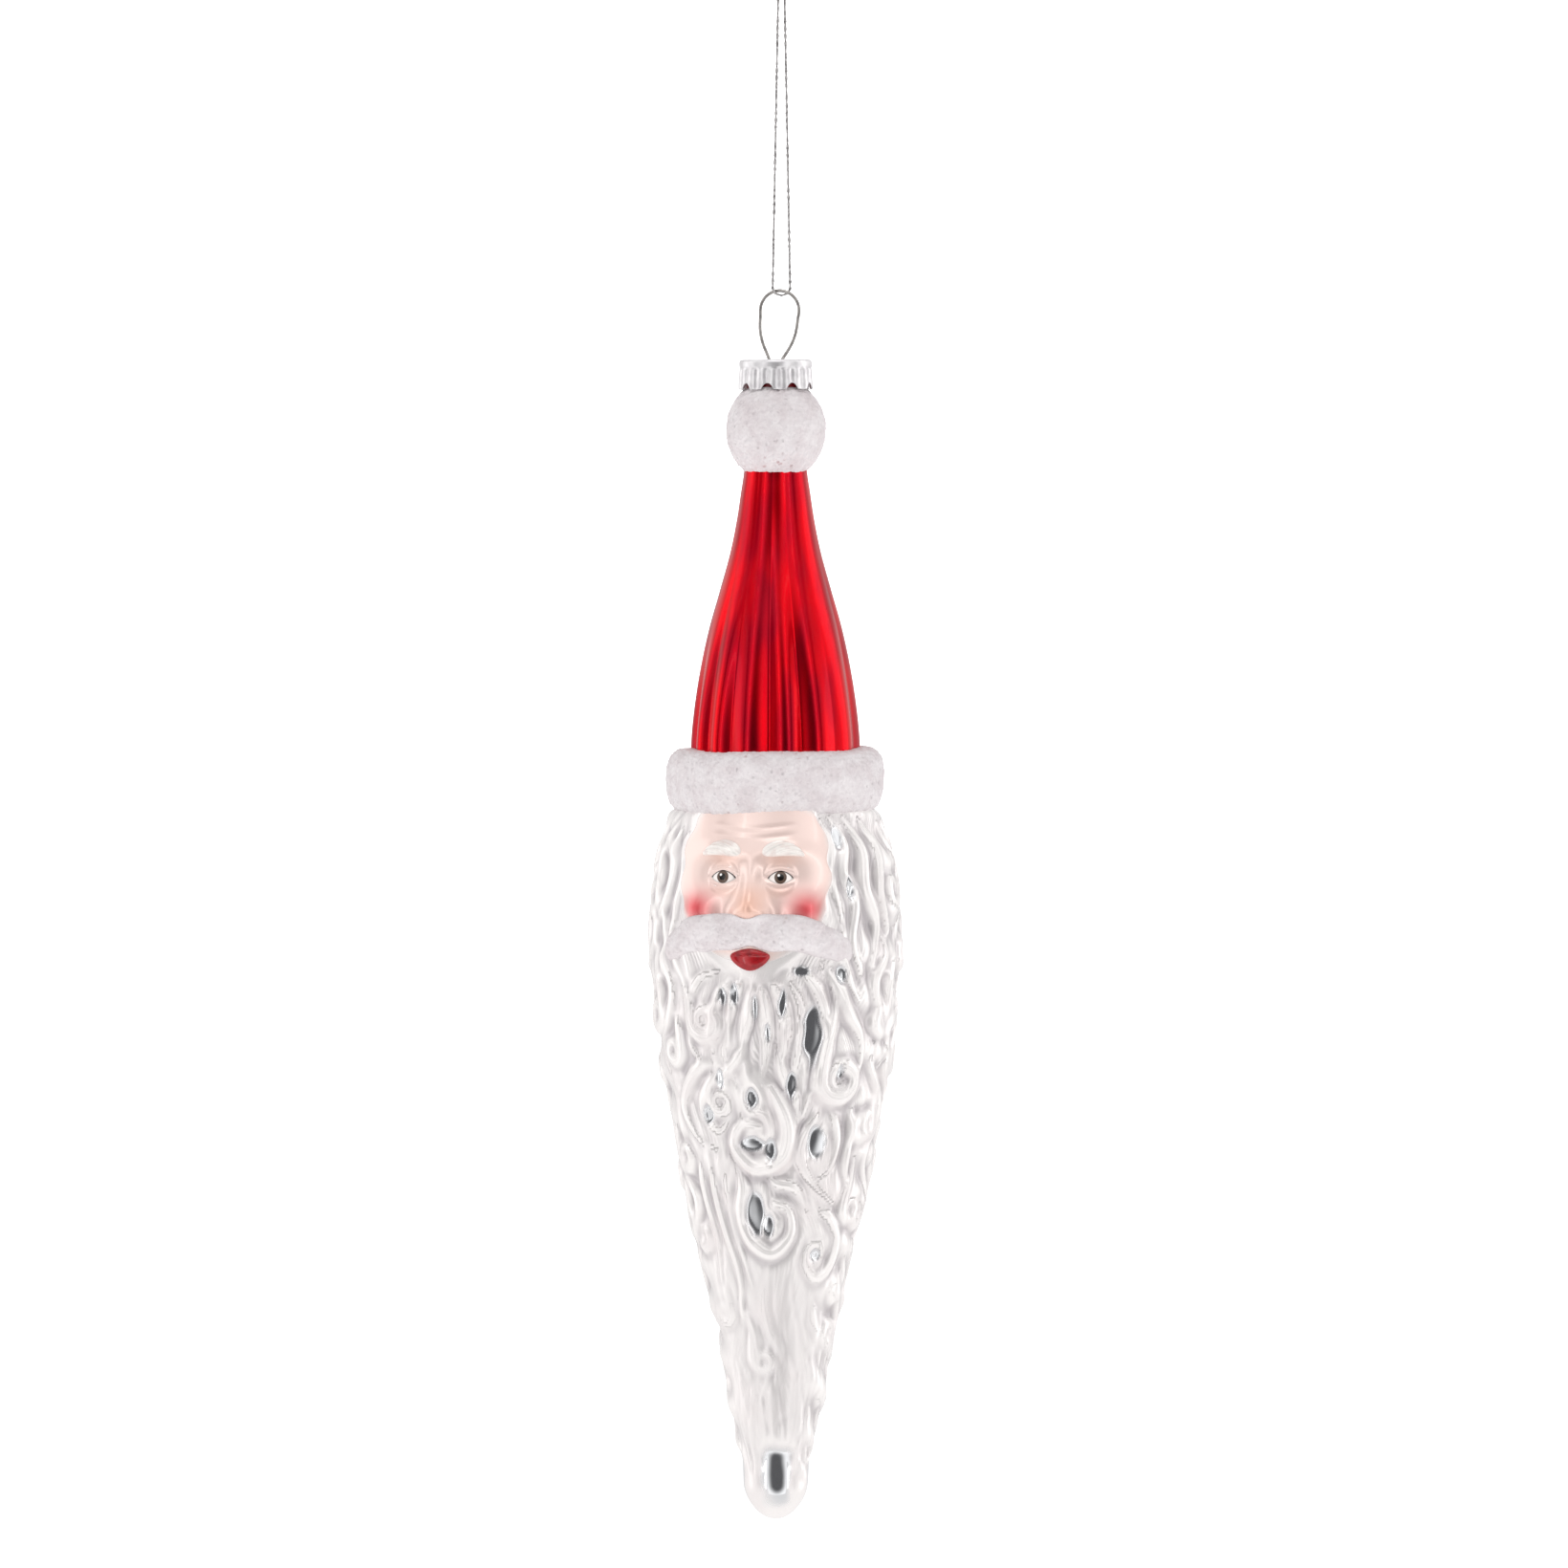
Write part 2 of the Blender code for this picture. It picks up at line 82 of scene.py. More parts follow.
# %% Make the camera
CAMERA_AZIMUTH = math.radians(13.0)
CAMERA_RISE = math.radians(2.5)
FRAME_WIDTH = 241.7  # what the view takes in at the ornament
LENS = 180.0
SENSOR = 36.0
AIM_ABOVE_TIP = 113.8
AIM_ASIDE = 1.3  # the ornament hangs this far to the left of the view's middle
CLIP_START = 0.05  # m


def look_direction():
    """From the ornament towards the camera."""
    level = math.cos(CAMERA_RISE)
    aside, ahead = math.sin(CAMERA_AZIMUTH) * level, -math.cos(CAMERA_AZIMUTH) * level
    return Vector((aside, ahead, math.sin(CAMERA_RISE)))


def add_camera():
    data = bpy.data.cameras.new("camera")
    data.lens = LENS
    data.sensor_width = SENSOR
    data.clip_start = CLIP_START
    camera = bpy.data.objects.new("camera", data)
    bpy.context.scene.collection.objects.link(camera)
    aside = Vector((math.cos(CAMERA_AZIMUTH), math.sin(CAMERA_AZIMUTH), 0.0))
    aim = Vector((AXIS_X, 0.0, TIP + AIM_ABOVE_TIP)) + aside * AIM_ASIDE
    distance = FRAME_WIDTH * LENS / SENSOR
    camera.location = (aim + look_direction() * distance) * MM
    camera.rotation_euler = look_direction().to_track_quat("Z", "Y").to_euler()
    bpy.context.scene.camera = camera
    return distance


print("camera at", round(add_camera() / 1000, 2), "m")

# %% [markdown]
# ## Helpers for meshes
#
# Every piece starts as one of Blender's primitives. Two habits keep the operators safe: nothing
# stays selected from before, and each finished piece sits at the origin with its place in its mesh,
# as the frame's parts do.

# %% Helpers for meshes
MERGE_WITHIN = 0.002  # mm


def start_clean():
    if bpy.context.object and bpy.context.object.mode != "OBJECT":
        bpy.ops.object.mode_set(mode="OBJECT")
    bpy.ops.object.select_all(action="DESELECT")


def pick(obj):
    """Selects one object alone, and makes it the active one."""
    start_clean()
    obj.select_set(True)
    bpy.context.view_layer.objects.active = obj


def named(name):
    """The object that an operator has just added, with its name."""
    obj = bpy.context.object
    obj.name = obj.data.name = name
    return obj


def rest_at_origin():
    """Puts the selected object's place, turn and scale into its mesh."""
    bpy.ops.object.transform_apply(location=True, rotation=True, scale=True)


def points_of(obj):
    co = np.empty(len(obj.data.vertices) * 3)
    obj.data.vertices.foreach_get("co", co)
    return co.reshape(-1, 3)


def set_points(obj, points):
    """Moves the vertices to places in millimetres."""
    obj.data.vertices.foreach_set("co", (np.asarray(points) * MM).ravel())
    obj.data.update()


def close_up(obj):
    """Joins the vertices that meet, at a seam or a pole, and turns the faces outwards."""
    pick(obj)
    bpy.ops.object.mode_set(mode="EDIT")
    bpy.ops.mesh.select_all(action="SELECT")
    bpy.ops.mesh.remove_doubles(threshold=MERGE_WITHIN * MM)
    bpy.ops.mesh.normals_make_consistent(inside=False)
    bpy.ops.object.mode_set(mode="OBJECT")
    bpy.ops.object.shade_smooth()


def thicken(obj, wall):
    """Gives the picked sheet a wall of so many mm, on its inner side."""
    solid = obj.modifiers.new("wall", "SOLIDIFY")
    solid.thickness = wall * MM
    solid.offset = -1.0
    bpy.ops.object.modifier_apply(modifier="wall")


def store(obj, name, values):
    """Keeps one number for each vertex, for the material to read."""
    layer = obj.data.attributes.new(name, "FLOAT", "POINT")
    layer.data.foreach_set("value", np.asarray(values, dtype=np.float32))


def add_sheet(name, across, down):
    """A flat square of cells, with its own UV map, and each vertex's u and v, from 0 to 1."""
    start_clean()
    bpy.ops.mesh.primitive_grid_add(x_subdivisions=across, y_subdivisions=down, size=1.0, calc_uvs=True)
    obj = named(name)
    flat = points_of(obj)
    return obj, flat[:, 0] + 0.5, 0.5 - flat[:, 1]


def ease(low, high, value):
    """From 0 at low to 1 at high, level at both ends."""
    t = np.clip((np.asarray(value, dtype=float) - low) / (high - low), 0.0, 1.0)
    return t * t * (3 - 2 * t)


def curve_through(stations, at):
    """A smooth curve through (x, y) stations, read at many x."""
    x, y = np.array(stations, dtype=float).T
    slope = np.gradient(y, x)
    k = np.clip(np.searchsorted(x, at) - 1, 0, len(x) - 2)
    step = x[k + 1] - x[k]
    t = (at - x[k]) / step
    rise = y[k] * (1 + 2 * t) * (1 - t) ** 2 + y[k + 1] * t * t * (3 - 2 * t)
    return rise + step * t * (1 - t) * (slope[k] * (1 - t) - slope[k + 1] * t)


NOISE_WAVES = 5
NOISE_SPREAD = 2.6  # what brings the waves' sum to about 1 at most


def soft_noise(seed, *axes):
    """A smooth, repeatable unevenness between about -1 and 1, from a few waves in random directions."""
    rng = np.random.default_rng(seed)
    total = 0.0
    for _ in range(NOISE_WAVES):
        wave = rng.uniform(0, 2 * math.pi)
        for axis in axes:
            wave = wave + np.asarray(axis) * rng.uniform(-1.0, 1.0)
        total = total + np.sin(wave)
    return total / NOISE_SPREAD


print("helpers ready")

# %% [markdown]
# ## Helpers for materials
#
# Colours are written as sRGB hex, as a picker shows them, and turned to linear light for the
# shader. One helper adds a node with its settings and links, so each material below reads as a
# short recipe.

# %% Helpers for materials


def linear(code):
    """An sRGB hex colour as linear RGBA."""
    channels = [int(code[i : i + 2], 16) / 255 for i in (0, 2, 4)]
    return [c / 12.92 if c <= 0.04045 else ((c + 0.055) / 1.055) ** 2.4 for c in channels] + [1.0]


def new_material(name, **sockets):
    """A Principled material. Each socket keyword has underscores for spaces."""
    mat = bpy.data.materials.new(name)
    mat.use_nodes = True
    shader = mat.node_tree.nodes["Principled BSDF"]
    for socket, value in sockets.items():
        shader.inputs[socket.replace("_", " ")].default_value = value
    return mat, mat.node_tree, shader


def add_node(tree, kind, settings=None, values=None, links=None):
    """A node with its settings, its sockets' own values, and links from other nodes' outputs."""
    node = tree.nodes.new(kind)
    for key, value in (settings or {}).items():
        setattr(node, key, value)
    for key, value in (values or {}).items():
        node.inputs[key].default_value = value
    for key, output in (links or {}).items():
        tree.links.new(output, node.inputs[key])
    return node


def blend_colours(tree, share, first, second):
    """The output of a colour mix. first and second are hex codes or outputs."""
    values, links = {}, {0: share}
    for index, colour in ((6, first), (7, second)):
        if isinstance(colour, str):
            values[index] = linear(colour)
        else:
            links[index] = colour
    mix = add_node(tree, "ShaderNodeMix", {"data_type": "RGBA"}, values, links)
    return mix.outputs[2]


def ramp(tree, value, low, high):
    """value spread from low to high onto 0 to 1."""
    return add_node(
        tree, "ShaderNodeMapRange", {"interpolation_type": "SMOOTHSTEP"},
        {"From Min": low, "From Max": high}, {"Value": value},
    ).outputs["Result"]


def between(tree, share, low, high):
    """A number that runs from low to high as share runs from 0 to 1."""
    return add_node(
        tree, "ShaderNodeMapRange", None, {"To Min": low, "To Max": high}, {"Value": share}
    ).outputs["Result"]


def read(tree, name):
    """A number stored on the mesh's vertices."""
    return add_node(tree, "ShaderNodeAttribute", {"attribute_name": name}).outputs["Fac"]


def place(tree):
    """Object coordinates, in metres."""
    return add_node(tree, "ShaderNodeTexCoord").outputs["Object"]


def noise(tree, size_mm, vector=None):
    """Noise whose lumps are about size_mm across."""
    return add_node(
        tree, "ShaderNodeTexNoise", None, {"Scale": 1 / (size_mm * MM), "Detail": 2.0},
        {"Vector": vector or place(tree)},
    ).outputs["Fac"]


def mottle(tree, shader, size_mm, low, high, first, second):
    """A base colour that wanders between two hex codes in blotches of about size_mm."""
    colour = blend_colours(tree, ramp(tree, noise(tree, size_mm), low, high), first, second)
    tree.links.new(colour, shader.inputs["Base Color"])


def bump(tree, shader, height, depth_mm):
    node = add_node(
        tree, "ShaderNodeBump", None, {"Strength": 1.0, "Distance": depth_mm * MM}, {"Height": height}
    )
    tree.links.new(node.outputs["Normal"], shader.inputs["Normal"])


def dress(obj, mat):
    obj.data.materials.clear()
    obj.data.materials.append(mat)


print("material helpers ready")

# %% [markdown]
# ## Metallic thread
#
# The ornament hangs on a loop of metallic thread: two plies twisted together, which gives a cord of
# 0.5 mm a little bump every 1.3 mm. It can be made as a plain tube with a twisted pattern, but the
# bumps show against a bright background, so each ply is swept as its own strand round the route.

# %% Route of the thread
THREAD_DIAMETER = 0.5
STRAND_SPREAD_TOP = 0.38
STRAND_SPREAD_LOOP = 1.2
STRANDS_END = 0.6  # below the knot's middle
STRAND_ROWS = 26
BIGHT_ROWS = 6  # in each half of the bend
ROUTE_STEP = 0.16
WIRE_DIAMETER = 0.54
GAP = 0.3
LOOP_TOP = -52.0
LOOP_ARC_RADIUS = 3.08
PASS_UNDER = WIRE_DIAMETER / 2 + GAP + THREAD_DIAMETER / 2


def bight(turn):
    """A point of the thread's bend round the wire. turn runs from -pi/2 in front to pi/2 behind."""
    across = STRAND_SPREAD_LOOP * 2 * turn / math.pi
    sag = LOOP_ARC_RADIUS - math.sqrt(LOOP_ARC_RADIUS**2 - across**2)
    drop = LOOP_TOP - WIRE_DIAMETER / 2 - sag - PASS_UNDER * math.cos(turn)
    return Vector((across, PASS_UNDER * math.sin(turn), drop))


def thread_route():
    """From under the wire up one strand, through the knot, down the other and back under the wire."""
    quarter = [bight(math.pi / 2 * i / BIGHT_ROWS) for i in range(BIGHT_ROWS + 1)]
    foot = quarter[-1]
    strand = []
    for i in range(1, STRAND_ROWS + 1):
        share = 1 - i / STRAND_ROWS
        x = STRAND_SPREAD_TOP + (STRAND_SPREAD_LOOP - STRAND_SPREAD_TOP) * share
        strand.append(Vector((x, PASS_UNDER * share, foot.z * share - STRANDS_END * (1 - share))))
    up = quarter + strand
    down = [Vector((-p.x, -p.y, p.z)) for p in reversed(up)]
    return up + [Vector((0.0, 0.0, 0.0))] + down


def even_line(points, spacing):
    """The same line with a point every so often."""
    points = np.array([list(p) for p in points])
    run = np.concatenate([[0], np.cumsum(np.linalg.norm(np.diff(points, axis=0), axis=1))])
    at = np.linspace(0, run[-1], max(int(run[-1] / spacing), 2) + 1)
    return np.stack([np.interp(at, run, points[:, k]) for k in range(3)], axis=1), run[-1]


route, thread_length = even_line(thread_route(), ROUTE_STEP)
print("thread route", round(thread_length, 1), "mm,", len(route), "points")

# %% Sweep the two plies
PLY_PITCH = 2.6
PLY_RADIUS = 0.145
PLY_OFFSET = 0.115
PLY_SIDES = 8


def frames_along(line):
    """Two directions across the line at each point, which don't turn with it."""
    ahead = np.gradient(line, axis=0)
    ahead /= np.linalg.norm(ahead, axis=1)[:, None]
    side = np.empty_like(ahead)
    last = np.array([0.0, 1.0, 0.0])
    for i, direction in enumerate(ahead):
        last = last - direction * last.dot(direction)
        last /= np.linalg.norm(last)
        side[i] = last
    return side, np.cross(ahead, side)


def swept_tube(name, line, radius, sides, centre_angle=None, centre_offset=0.0):
    """A closed-ended tube along the line, whose centre may wind round it."""
    side, other = frames_along(line)
    centre = line
    if centre_angle is not None:
        centre = line + centre_offset * (
            np.cos(centre_angle)[:, None] * side + np.sin(centre_angle)[:, None] * other
        )
    start_clean()
    bpy.ops.mesh.primitive_cylinder_add(vertices=sides, radius=1.0, depth=1.0, end_fill_type="NGON")
    obj = named(name)
    bpy.ops.object.mode_set(mode="EDIT")
    bpy.ops.mesh.select_all(action="DESELECT")
    bpy.ops.object.mode_set(mode="OBJECT")
    for edge in obj.data.edges:
        low, high = (obj.data.vertices[i].co.z for i in edge.vertices)
        edge.select = abs(low - high) > 0.5
    bpy.ops.object.mode_set(mode="EDIT")
    bpy.ops.mesh.select_mode(type="EDGE")
    bpy.ops.mesh.subdivide(number_cuts=len(line) - 2)
    bpy.ops.object.mode_set(mode="OBJECT")
    unit = points_of(obj)
    row = np.clip(np.rint((unit[:, 2] + 0.5) * (len(line) - 1)).astype(int), 0, len(line) - 1)
    turn = np.arctan2(unit[:, 1], unit[:, 0])
    across = radius * (np.cos(turn)[:, None] * side[row] + np.sin(turn)[:, None] * other[row])
    set_points(obj, centre[row] + across)
    close_up(obj)
    return obj


def twisted_plies(name, line, length):
    """Two tubes twisted together along the line, joined as one piece."""
    turns = 2 * math.pi * round(length / PLY_PITCH) * np.linspace(0, 1, len(line))
    plies = [
        swept_tube(f"{name}_{k}", line, PLY_RADIUS, PLY_SIDES, turns + math.pi * k, PLY_OFFSET)
        for k in range(2)
    ]
    pick(plies[0])
    plies[1].select_set(True)
    bpy.ops.object.join()
    return named(name)


thread = twisted_plies("metallic_thread", route, thread_length)
print("thread:", len(thread.data.polygons), "faces")

# %% [markdown]
# ## Knot
#
# Both strands end in a small overhand knot at the very top. A trefoil curve has the same three
# crossings as an overhand knot pulled tight, and one formula gives it, so the knot is a tube along
# a small trefoil.

# %% Tie the knot
KNOT_SIZE = 0.27
KNOT_DEPTH, KNOT_HEIGHT = 0.9, 1.25  # shares of a plain trefoil's
KNOT_CORNERS = 120
KNOT_STEP = 0.1


def trefoil(turn):
    """A point of a trefoil knot, lying across the thread."""
    return (
        math.sin(turn) + 2 * math.sin(2 * turn),
        (math.cos(turn) - 2 * math.cos(2 * turn)) * KNOT_DEPTH,
        -math.sin(3 * turn) * KNOT_HEIGHT,
    )


knot_corners = [
    Vector(trefoil(2 * math.pi * i / KNOT_CORNERS)) * KNOT_SIZE for i in range(KNOT_CORNERS + 1)
]
knot_line, knot_length = even_line(knot_corners, KNOT_STEP)
knot = twisted_plies("overhand_knot", knot_line, knot_length)
print("knot length", round(knot_length, 1), "mm")

# %% [markdown]
# ## Wire loop
#
# A hairpin of springy steel wire stands in the neck. Its legs press outwards against the glass, and
# that is all that holds the cap on. Above the cap it opens into a pointed egg-shaped loop. One
# smooth tube does it.

# %% Bend the wire
LEG_CENTRES = 1.9
LEG_LENGTH = 16.0
LEG_SPLAY = 3.1
LOOP_HEIGHT = 10.9
LOOP_LEAN = math.radians(5.0)
SIDE_BOW = 0.65  # how far each side of the loop bows out
ARC_ROWS, SIDE_ROWS, LEG_ROWS = 40, 12, 8
WIRE_STEP = 0.3
WIRE_SIDES = 16


def wire_route():
    leg = LEG_CENTRES / 2
    centre = LOOP_HEIGHT - WIRE_DIAMETER / 2 - LOOP_ARC_RADIUS
    touch = math.acos(LOOP_ARC_RADIUS / math.hypot(leg, centre)) - math.atan2(centre, leg)
    arc = []
    for i in range(ARC_ROWS + 1):
        angle = touch + (math.pi - 2 * touch) * i / ARC_ROWS
        arc.append((LOOP_ARC_RADIUS * math.cos(angle), centre + LOOP_ARC_RADIUS * math.sin(angle)))
    # the sides are bowed, which makes the loop egg-shaped
    start, end = Vector((leg, 0.0)), Vector(arc[0])
    side = []
    for share in np.linspace(0, 1, SIDE_ROWS + 1)[1:-1]:
        point = start.lerp(end, share)
        side.append((point.x + SIDE_BOW * math.sin(math.pi * share), point.y))
    arc = side + arc + [(-x, z) for x, z in reversed(side)]
    lean = Matrix.Rotation(LOOP_LEAN, 3, "Y")
    loop = [lean @ Vector((x, 0.0, z)) for x, z in arc]
    leg_down = [
        Vector((leg + (LEG_SPLAY - leg) * share, 0.0, -LEG_LENGTH * share))
        for share in np.linspace(1, 0, LEG_ROWS + 1)
    ]
    other_leg = [Vector((-p.x, p.y, p.z)) for p in reversed(leg_down)]
    foot = Vector((AXIS_X, 0.0, CAP_TOP))
    return [foot + p for p in leg_down + loop + other_leg]


wire_points, wire_length = even_line(wire_route(), WIRE_STEP)
for _ in range(3):  # the bends are rounded
    wire_points[1:-1] = (wire_points[:-2] + 2 * wire_points[1:-1] + wire_points[2:]) / 4
wire = swept_tube("wire_loop_steel", wire_points, WIRE_DIAMETER / 2, WIRE_SIDES)
wire_top = max(wire_points[:, 2]) + WIRE_DIAMETER / 2
print("wire:", round(wire_length, 1), "mm long, top at", round(wire_top, 2))

# %% [markdown]
# ## Cap
#
# The cap is pressed from thin bright sheet: a flat top, a rounded edge, a ribbed skirt, and a lower
# edge cut into scallops. A sheet of cells is rolled round the axis, the ribs and the scallops are
# waves round it, and Solidify gives the metal its thickness.

# %% Press the cap
CAP_HEIGHT = 4.6
CAP_RADIUS = 5.72
CAP_EDGE = 0.5
CAP_WALL = 0.25
HOLE_RADIUS = 1.5
RIBS, RIB_RISE, RIB_ROOT = 18, 0.34, -0.24
SCALLOPS, SCALLOP_HEIGHT = 9, 1.0
WAVE_SHAPE = 0.8  # under 1, a wave is broad at its top


def roll(obj, radius, height, angle, oval=1.0):
    """Sets a sheet's points round the ornament's axis. Angles are in degrees from the face."""
    turn = np.radians(angle)
    across, ahead = AXIS_X + radius * np.sin(turn), -radius * np.cos(turn) * oval
    set_points(obj, np.stack([across, ahead, height], axis=1))


def along_outline(outline, share):
    """Points at equal steps of length along an outline of (radius, height) corners."""
    outline = np.array(outline)
    run = np.concatenate([[0], np.cumsum(np.hypot(*np.diff(outline, axis=0).T))])
    at = share * run[-1]
    return np.interp(at, run, outline[:, 0]), np.interp(at, run, outline[:, 1])


cap, u, v = add_sheet("pressed_cap", 432, 56)
cap_edge = CAP_RADIUS - 0.1 - CAP_EDGE
cap_outline = [(HOLE_RADIUS, CAP_TOP - 0.12), (HOLE_RADIUS + 0.25, CAP_TOP), (cap_edge, CAP_TOP)]
for bend in np.radians(np.linspace(90, 0, 7)[1:]):
    cap_outline.append((cap_edge + CAP_EDGE * math.cos(bend), CAP_TOP - CAP_EDGE * (1 - math.sin(bend))))
cap_outline += [
    (CAP_RADIUS - 0.1, CAP_TOP - 1.1), (CAP_RADIUS - 0.2, CAP_TOP - 1.3),
    (CAP_RADIUS, CAP_TOP - CAP_HEIGHT),
]
radius, height = along_outline(cap_outline, v)
angle = 360 * u - 180
drop = CAP_TOP - height
skirt = ease(1.1, 1.7, drop) * ease(CAP_HEIGHT + 0.5, CAP_HEIGHT - 0.4, drop)
ribs = np.abs(np.sin(np.radians(angle * RIBS / 2))) ** WAVE_SHAPE
radius = radius + skirt * (RIB_RISE * ribs + RIB_ROOT + 0.03 * soft_noise(5, angle / 9, height))
arch = np.maximum(np.cos(np.radians(angle * SCALLOPS)), 0.0) ** WAVE_SHAPE
height = height + SCALLOP_HEIGHT * arch * ease(CAP_HEIGHT / 2, CAP_HEIGHT, drop)
height = height + 0.04 * soft_noise(6, angle / 14)
roll(cap, radius, height, angle)
close_up(cap)
pick(cap)
thicken(cap, CAP_WALL)
print("cap:", len(cap.data.polygons), "faces")

# %% [markdown]
# ## Hat
#
# The hat is part of the blown glass: a tall cone that swells towards the brim, pressed into soft
# flutes by the mould. The flutes aren't evenly spaced. Each is a rounded fold between two sharper
# valleys, deep at the brim and almost gone under the pom-pom, so the valleys are listed one by one
# and the folds are shaped between them.

# %% Shape the hat
BRIM_HEIGHT = 10.0
HAT_LENGTH = HAT_TOP - (BRIM_FOOT + BRIM_HEIGHT)
HAT_TUCK = 2.5  # how far the hat runs on inside the brim
HAT_START = -1.0  # and above its top, inside the pom-pom
HAT_OVAL = 0.96
# the shares of the sheet's rows that close the hat's top, make its side and close its foot
HAT_LID, HAT_SIDE, HAT_FLOOR = 0.03, 0.93, 0.04
FLUTE_SHAPE = 1.3  # the higher, the broader the valley beside each fold
# how far below the hat's top, and the radius there
HAT_OUTLINE = [
    (-2.0, 4.75), (0.0, 4.9), (3.0, 5.35), (7.0, 5.95), (12.0, 6.95), (18.0, 8.6), (24.0, 10.3),
    (30.0, 11.6), (36.0, 12.55), (41.0, 13.05), (46.0, 13.15),
]
# each valley's angle from the face, its depth at the brim, and how far up the hat it reaches
VALLEYS = [
    (-158, 0.8, 24), (-131, 1.0, 34), (-104, 0.8, 20), (-82, 1.0, 36), (-62, 0.7, 22),
    (-42, 0.85, 30), (-20, 1.05, 26), (7, 1.15, 40), (30, 1.25, 31), (56, 0.35, 24),
    (84, 0.5, 36), (110, 0.9, 30), (136, 0.9, 22), (168, 1.0, 38),
]


def hat_fold(angle, depth_down):
    """How far the hat's surface stands back from its outline, in mm."""
    valleys = sorted(VALLEYS)
    starts = np.array([v[0] for v in valleys] + [valleys[0][0] + 360.0])
    turned = (angle - starts[0]) % 360 + starts[0]
    lean = 2.2 * np.sin(depth_down / 9.0)
    turned = np.clip(turned + lean * np.sin(np.radians(turned * 2)), starts[0], starts[-1] - 1e-6)
    k = np.clip(np.searchsorted(starts, turned, side="right") - 1, 0, len(valleys) - 1)
    share = (turned - starts[k]) / (starts[k + 1] - starts[k])
    depth = np.array([v[1] for v in valleys] + [valleys[0][1]])
    reach = np.array([v[2] for v in valleys] + [valleys[0][2]])

    def valley(index):
        shown = ease(HAT_LENGTH - reach[index], HAT_LENGTH, depth_down)
        return depth[index] * (0.05 + 0.95 * shown)

    side = 0.5 + 0.5 * np.cos(np.pi * share)
    deepest = valley(k) * side + valley(k + 1) * (1 - side)
    return deepest * (1 - np.sin(np.pi * share) ** FLUTE_SHAPE)


hat, u, v = add_sheet("hat_red_lacquer", 420, 150)
angle = 360 * u - 180
down = HAT_START + (HAT_LENGTH + HAT_TUCK - HAT_START) * np.clip((v - HAT_LID) / HAT_SIDE, 0.0, 1.0)
lid = np.clip(v / HAT_LID, 0.0, 1.0) * np.clip((1 - v) / HAT_FLOOR, 0.0, 1.0)
height = HAT_TOP - down
fold = hat_fold(angle, np.clip(down, 0.0, HAT_LENGTH))
radius = (curve_through(HAT_OUTLINE, down) - fold) * lid
roll(hat, radius, height, angle, HAT_OVAL)
close_up(hat)
print("hat:", len(hat.data.polygons), "faces,", round(HAT_LENGTH, 1), "mm tall")

# %% [markdown]
# ## Neck
#
# Between the cap's scallops the neck shows as a dark red band: the shade under the cap is painted
# into its colour. It is a short closed tube under the cap.

# %% Shape the neck
NECK_RADIUS, NECK_BORE = 4.75, 3.95
NECK_TOP, NECK_FOOT = CAP_TOP - 0.7, CAP_TOP - 6.5
neck, u, v = add_sheet("neck_red_lacquer", 96, 24)
neck_path = [
    (NECK_BORE, NECK_FOOT), (NECK_BORE, NECK_TOP), (NECK_RADIUS, NECK_TOP), (NECK_RADIUS, NECK_FOOT),
    (NECK_BORE, NECK_FOOT),
]
radius, height = along_outline(neck_path, v)
roll(neck, radius, height, 360 * u - 180)
close_up(neck)
print("neck:", len(neck.data.polygons), "faces")

# %% [markdown]
# ## Glitter
#
# The pom-pom, the hat's brim and the moustache are coated with glue and fine white glitter to look
# like fur. The shape underneath is softly lumpy, and the grains stand up from it. The lumps are
# modelled. Of the grains, the coarse ones are modelled as well, so the outline looks furry, and the
# material makes the fine ones.

# %% Pom-pom
POMPOM_MIDDLE = (pompom_low.z + pompom_high.z) / 2 - 0.1
POMPOM_RADIUS = 7.7
POMPOM_STRETCH = 1.07  # it is a little taller than wide
POMPOM_FOOT = HAT_TOP - 1.9
POMPOM_FOOT_ROUND = 0.15  # what is left of the roundness under its foot
POMPOM_TOP = CAP_TOP - CAP_HEIGHT + 0.35
BORE_DEPTH = 11.0
BORE_EDGE = (4.3, 3.9)  # from where the bore falls, to where it is full


def fur(points, lump, lump_size, grain, seed):
    """Lumps and coarse grains for glittered fur, in mm."""
    axes = points.T
    lumps = lump * soft_noise(seed, *(axis * 2.4 / lump_size for axis in axes))
    grains = np.zeros(len(points))
    for octave, size in enumerate((1.1, 0.62)):
        grains += soft_noise(seed + 7 + octave, *(axis * 5.0 / size for axis in axes))
    return lumps + grain * grains


start_clean()
bpy.ops.mesh.primitive_ico_sphere_add(subdivisions=7, radius=1.0)
pompom = named("pompom_glitter_coat")
unit = points_of(pompom)
points = unit * POMPOM_RADIUS
points = points + unit * fur(points, 0.16, 5.0, 0.045, 11)[:, None]
height = points[:, 2] * POMPOM_STRETCH + POMPOM_MIDDLE
# it is drawn in at the hat and under the cap
height = np.maximum(height, POMPOM_FOOT + POMPOM_FOOT_ROUND * (height - POMPOM_FOOT))
height = np.minimum(height, POMPOM_TOP)
# the neck's bore runs down into it
from_axis = np.hypot(points[:, 0], points[:, 1])
height -= BORE_DEPTH * ease(*BORE_EDGE, from_axis) * (height > POMPOM_MIDDLE)
points[:, 2] = height
points[:, 0] += AXIS_X
set_points(pompom, points)
close_up(pompom)
print("pom-pom:", len(pompom.data.polygons), "faces")

# %% Brim
BRIM_RADIUS = 16.75
BRIM_THICK = 6.6
BRIM_CORNERS = 2.7  # 2 is an ellipse, and more is boxier
OVAL = 0.9  # the head's depth as a share of its width


def boxy(wave):
    """A sine or cosine, as a section with rounded corners has it."""
    return np.sign(wave) * np.abs(wave) ** (2 / BRIM_CORNERS)


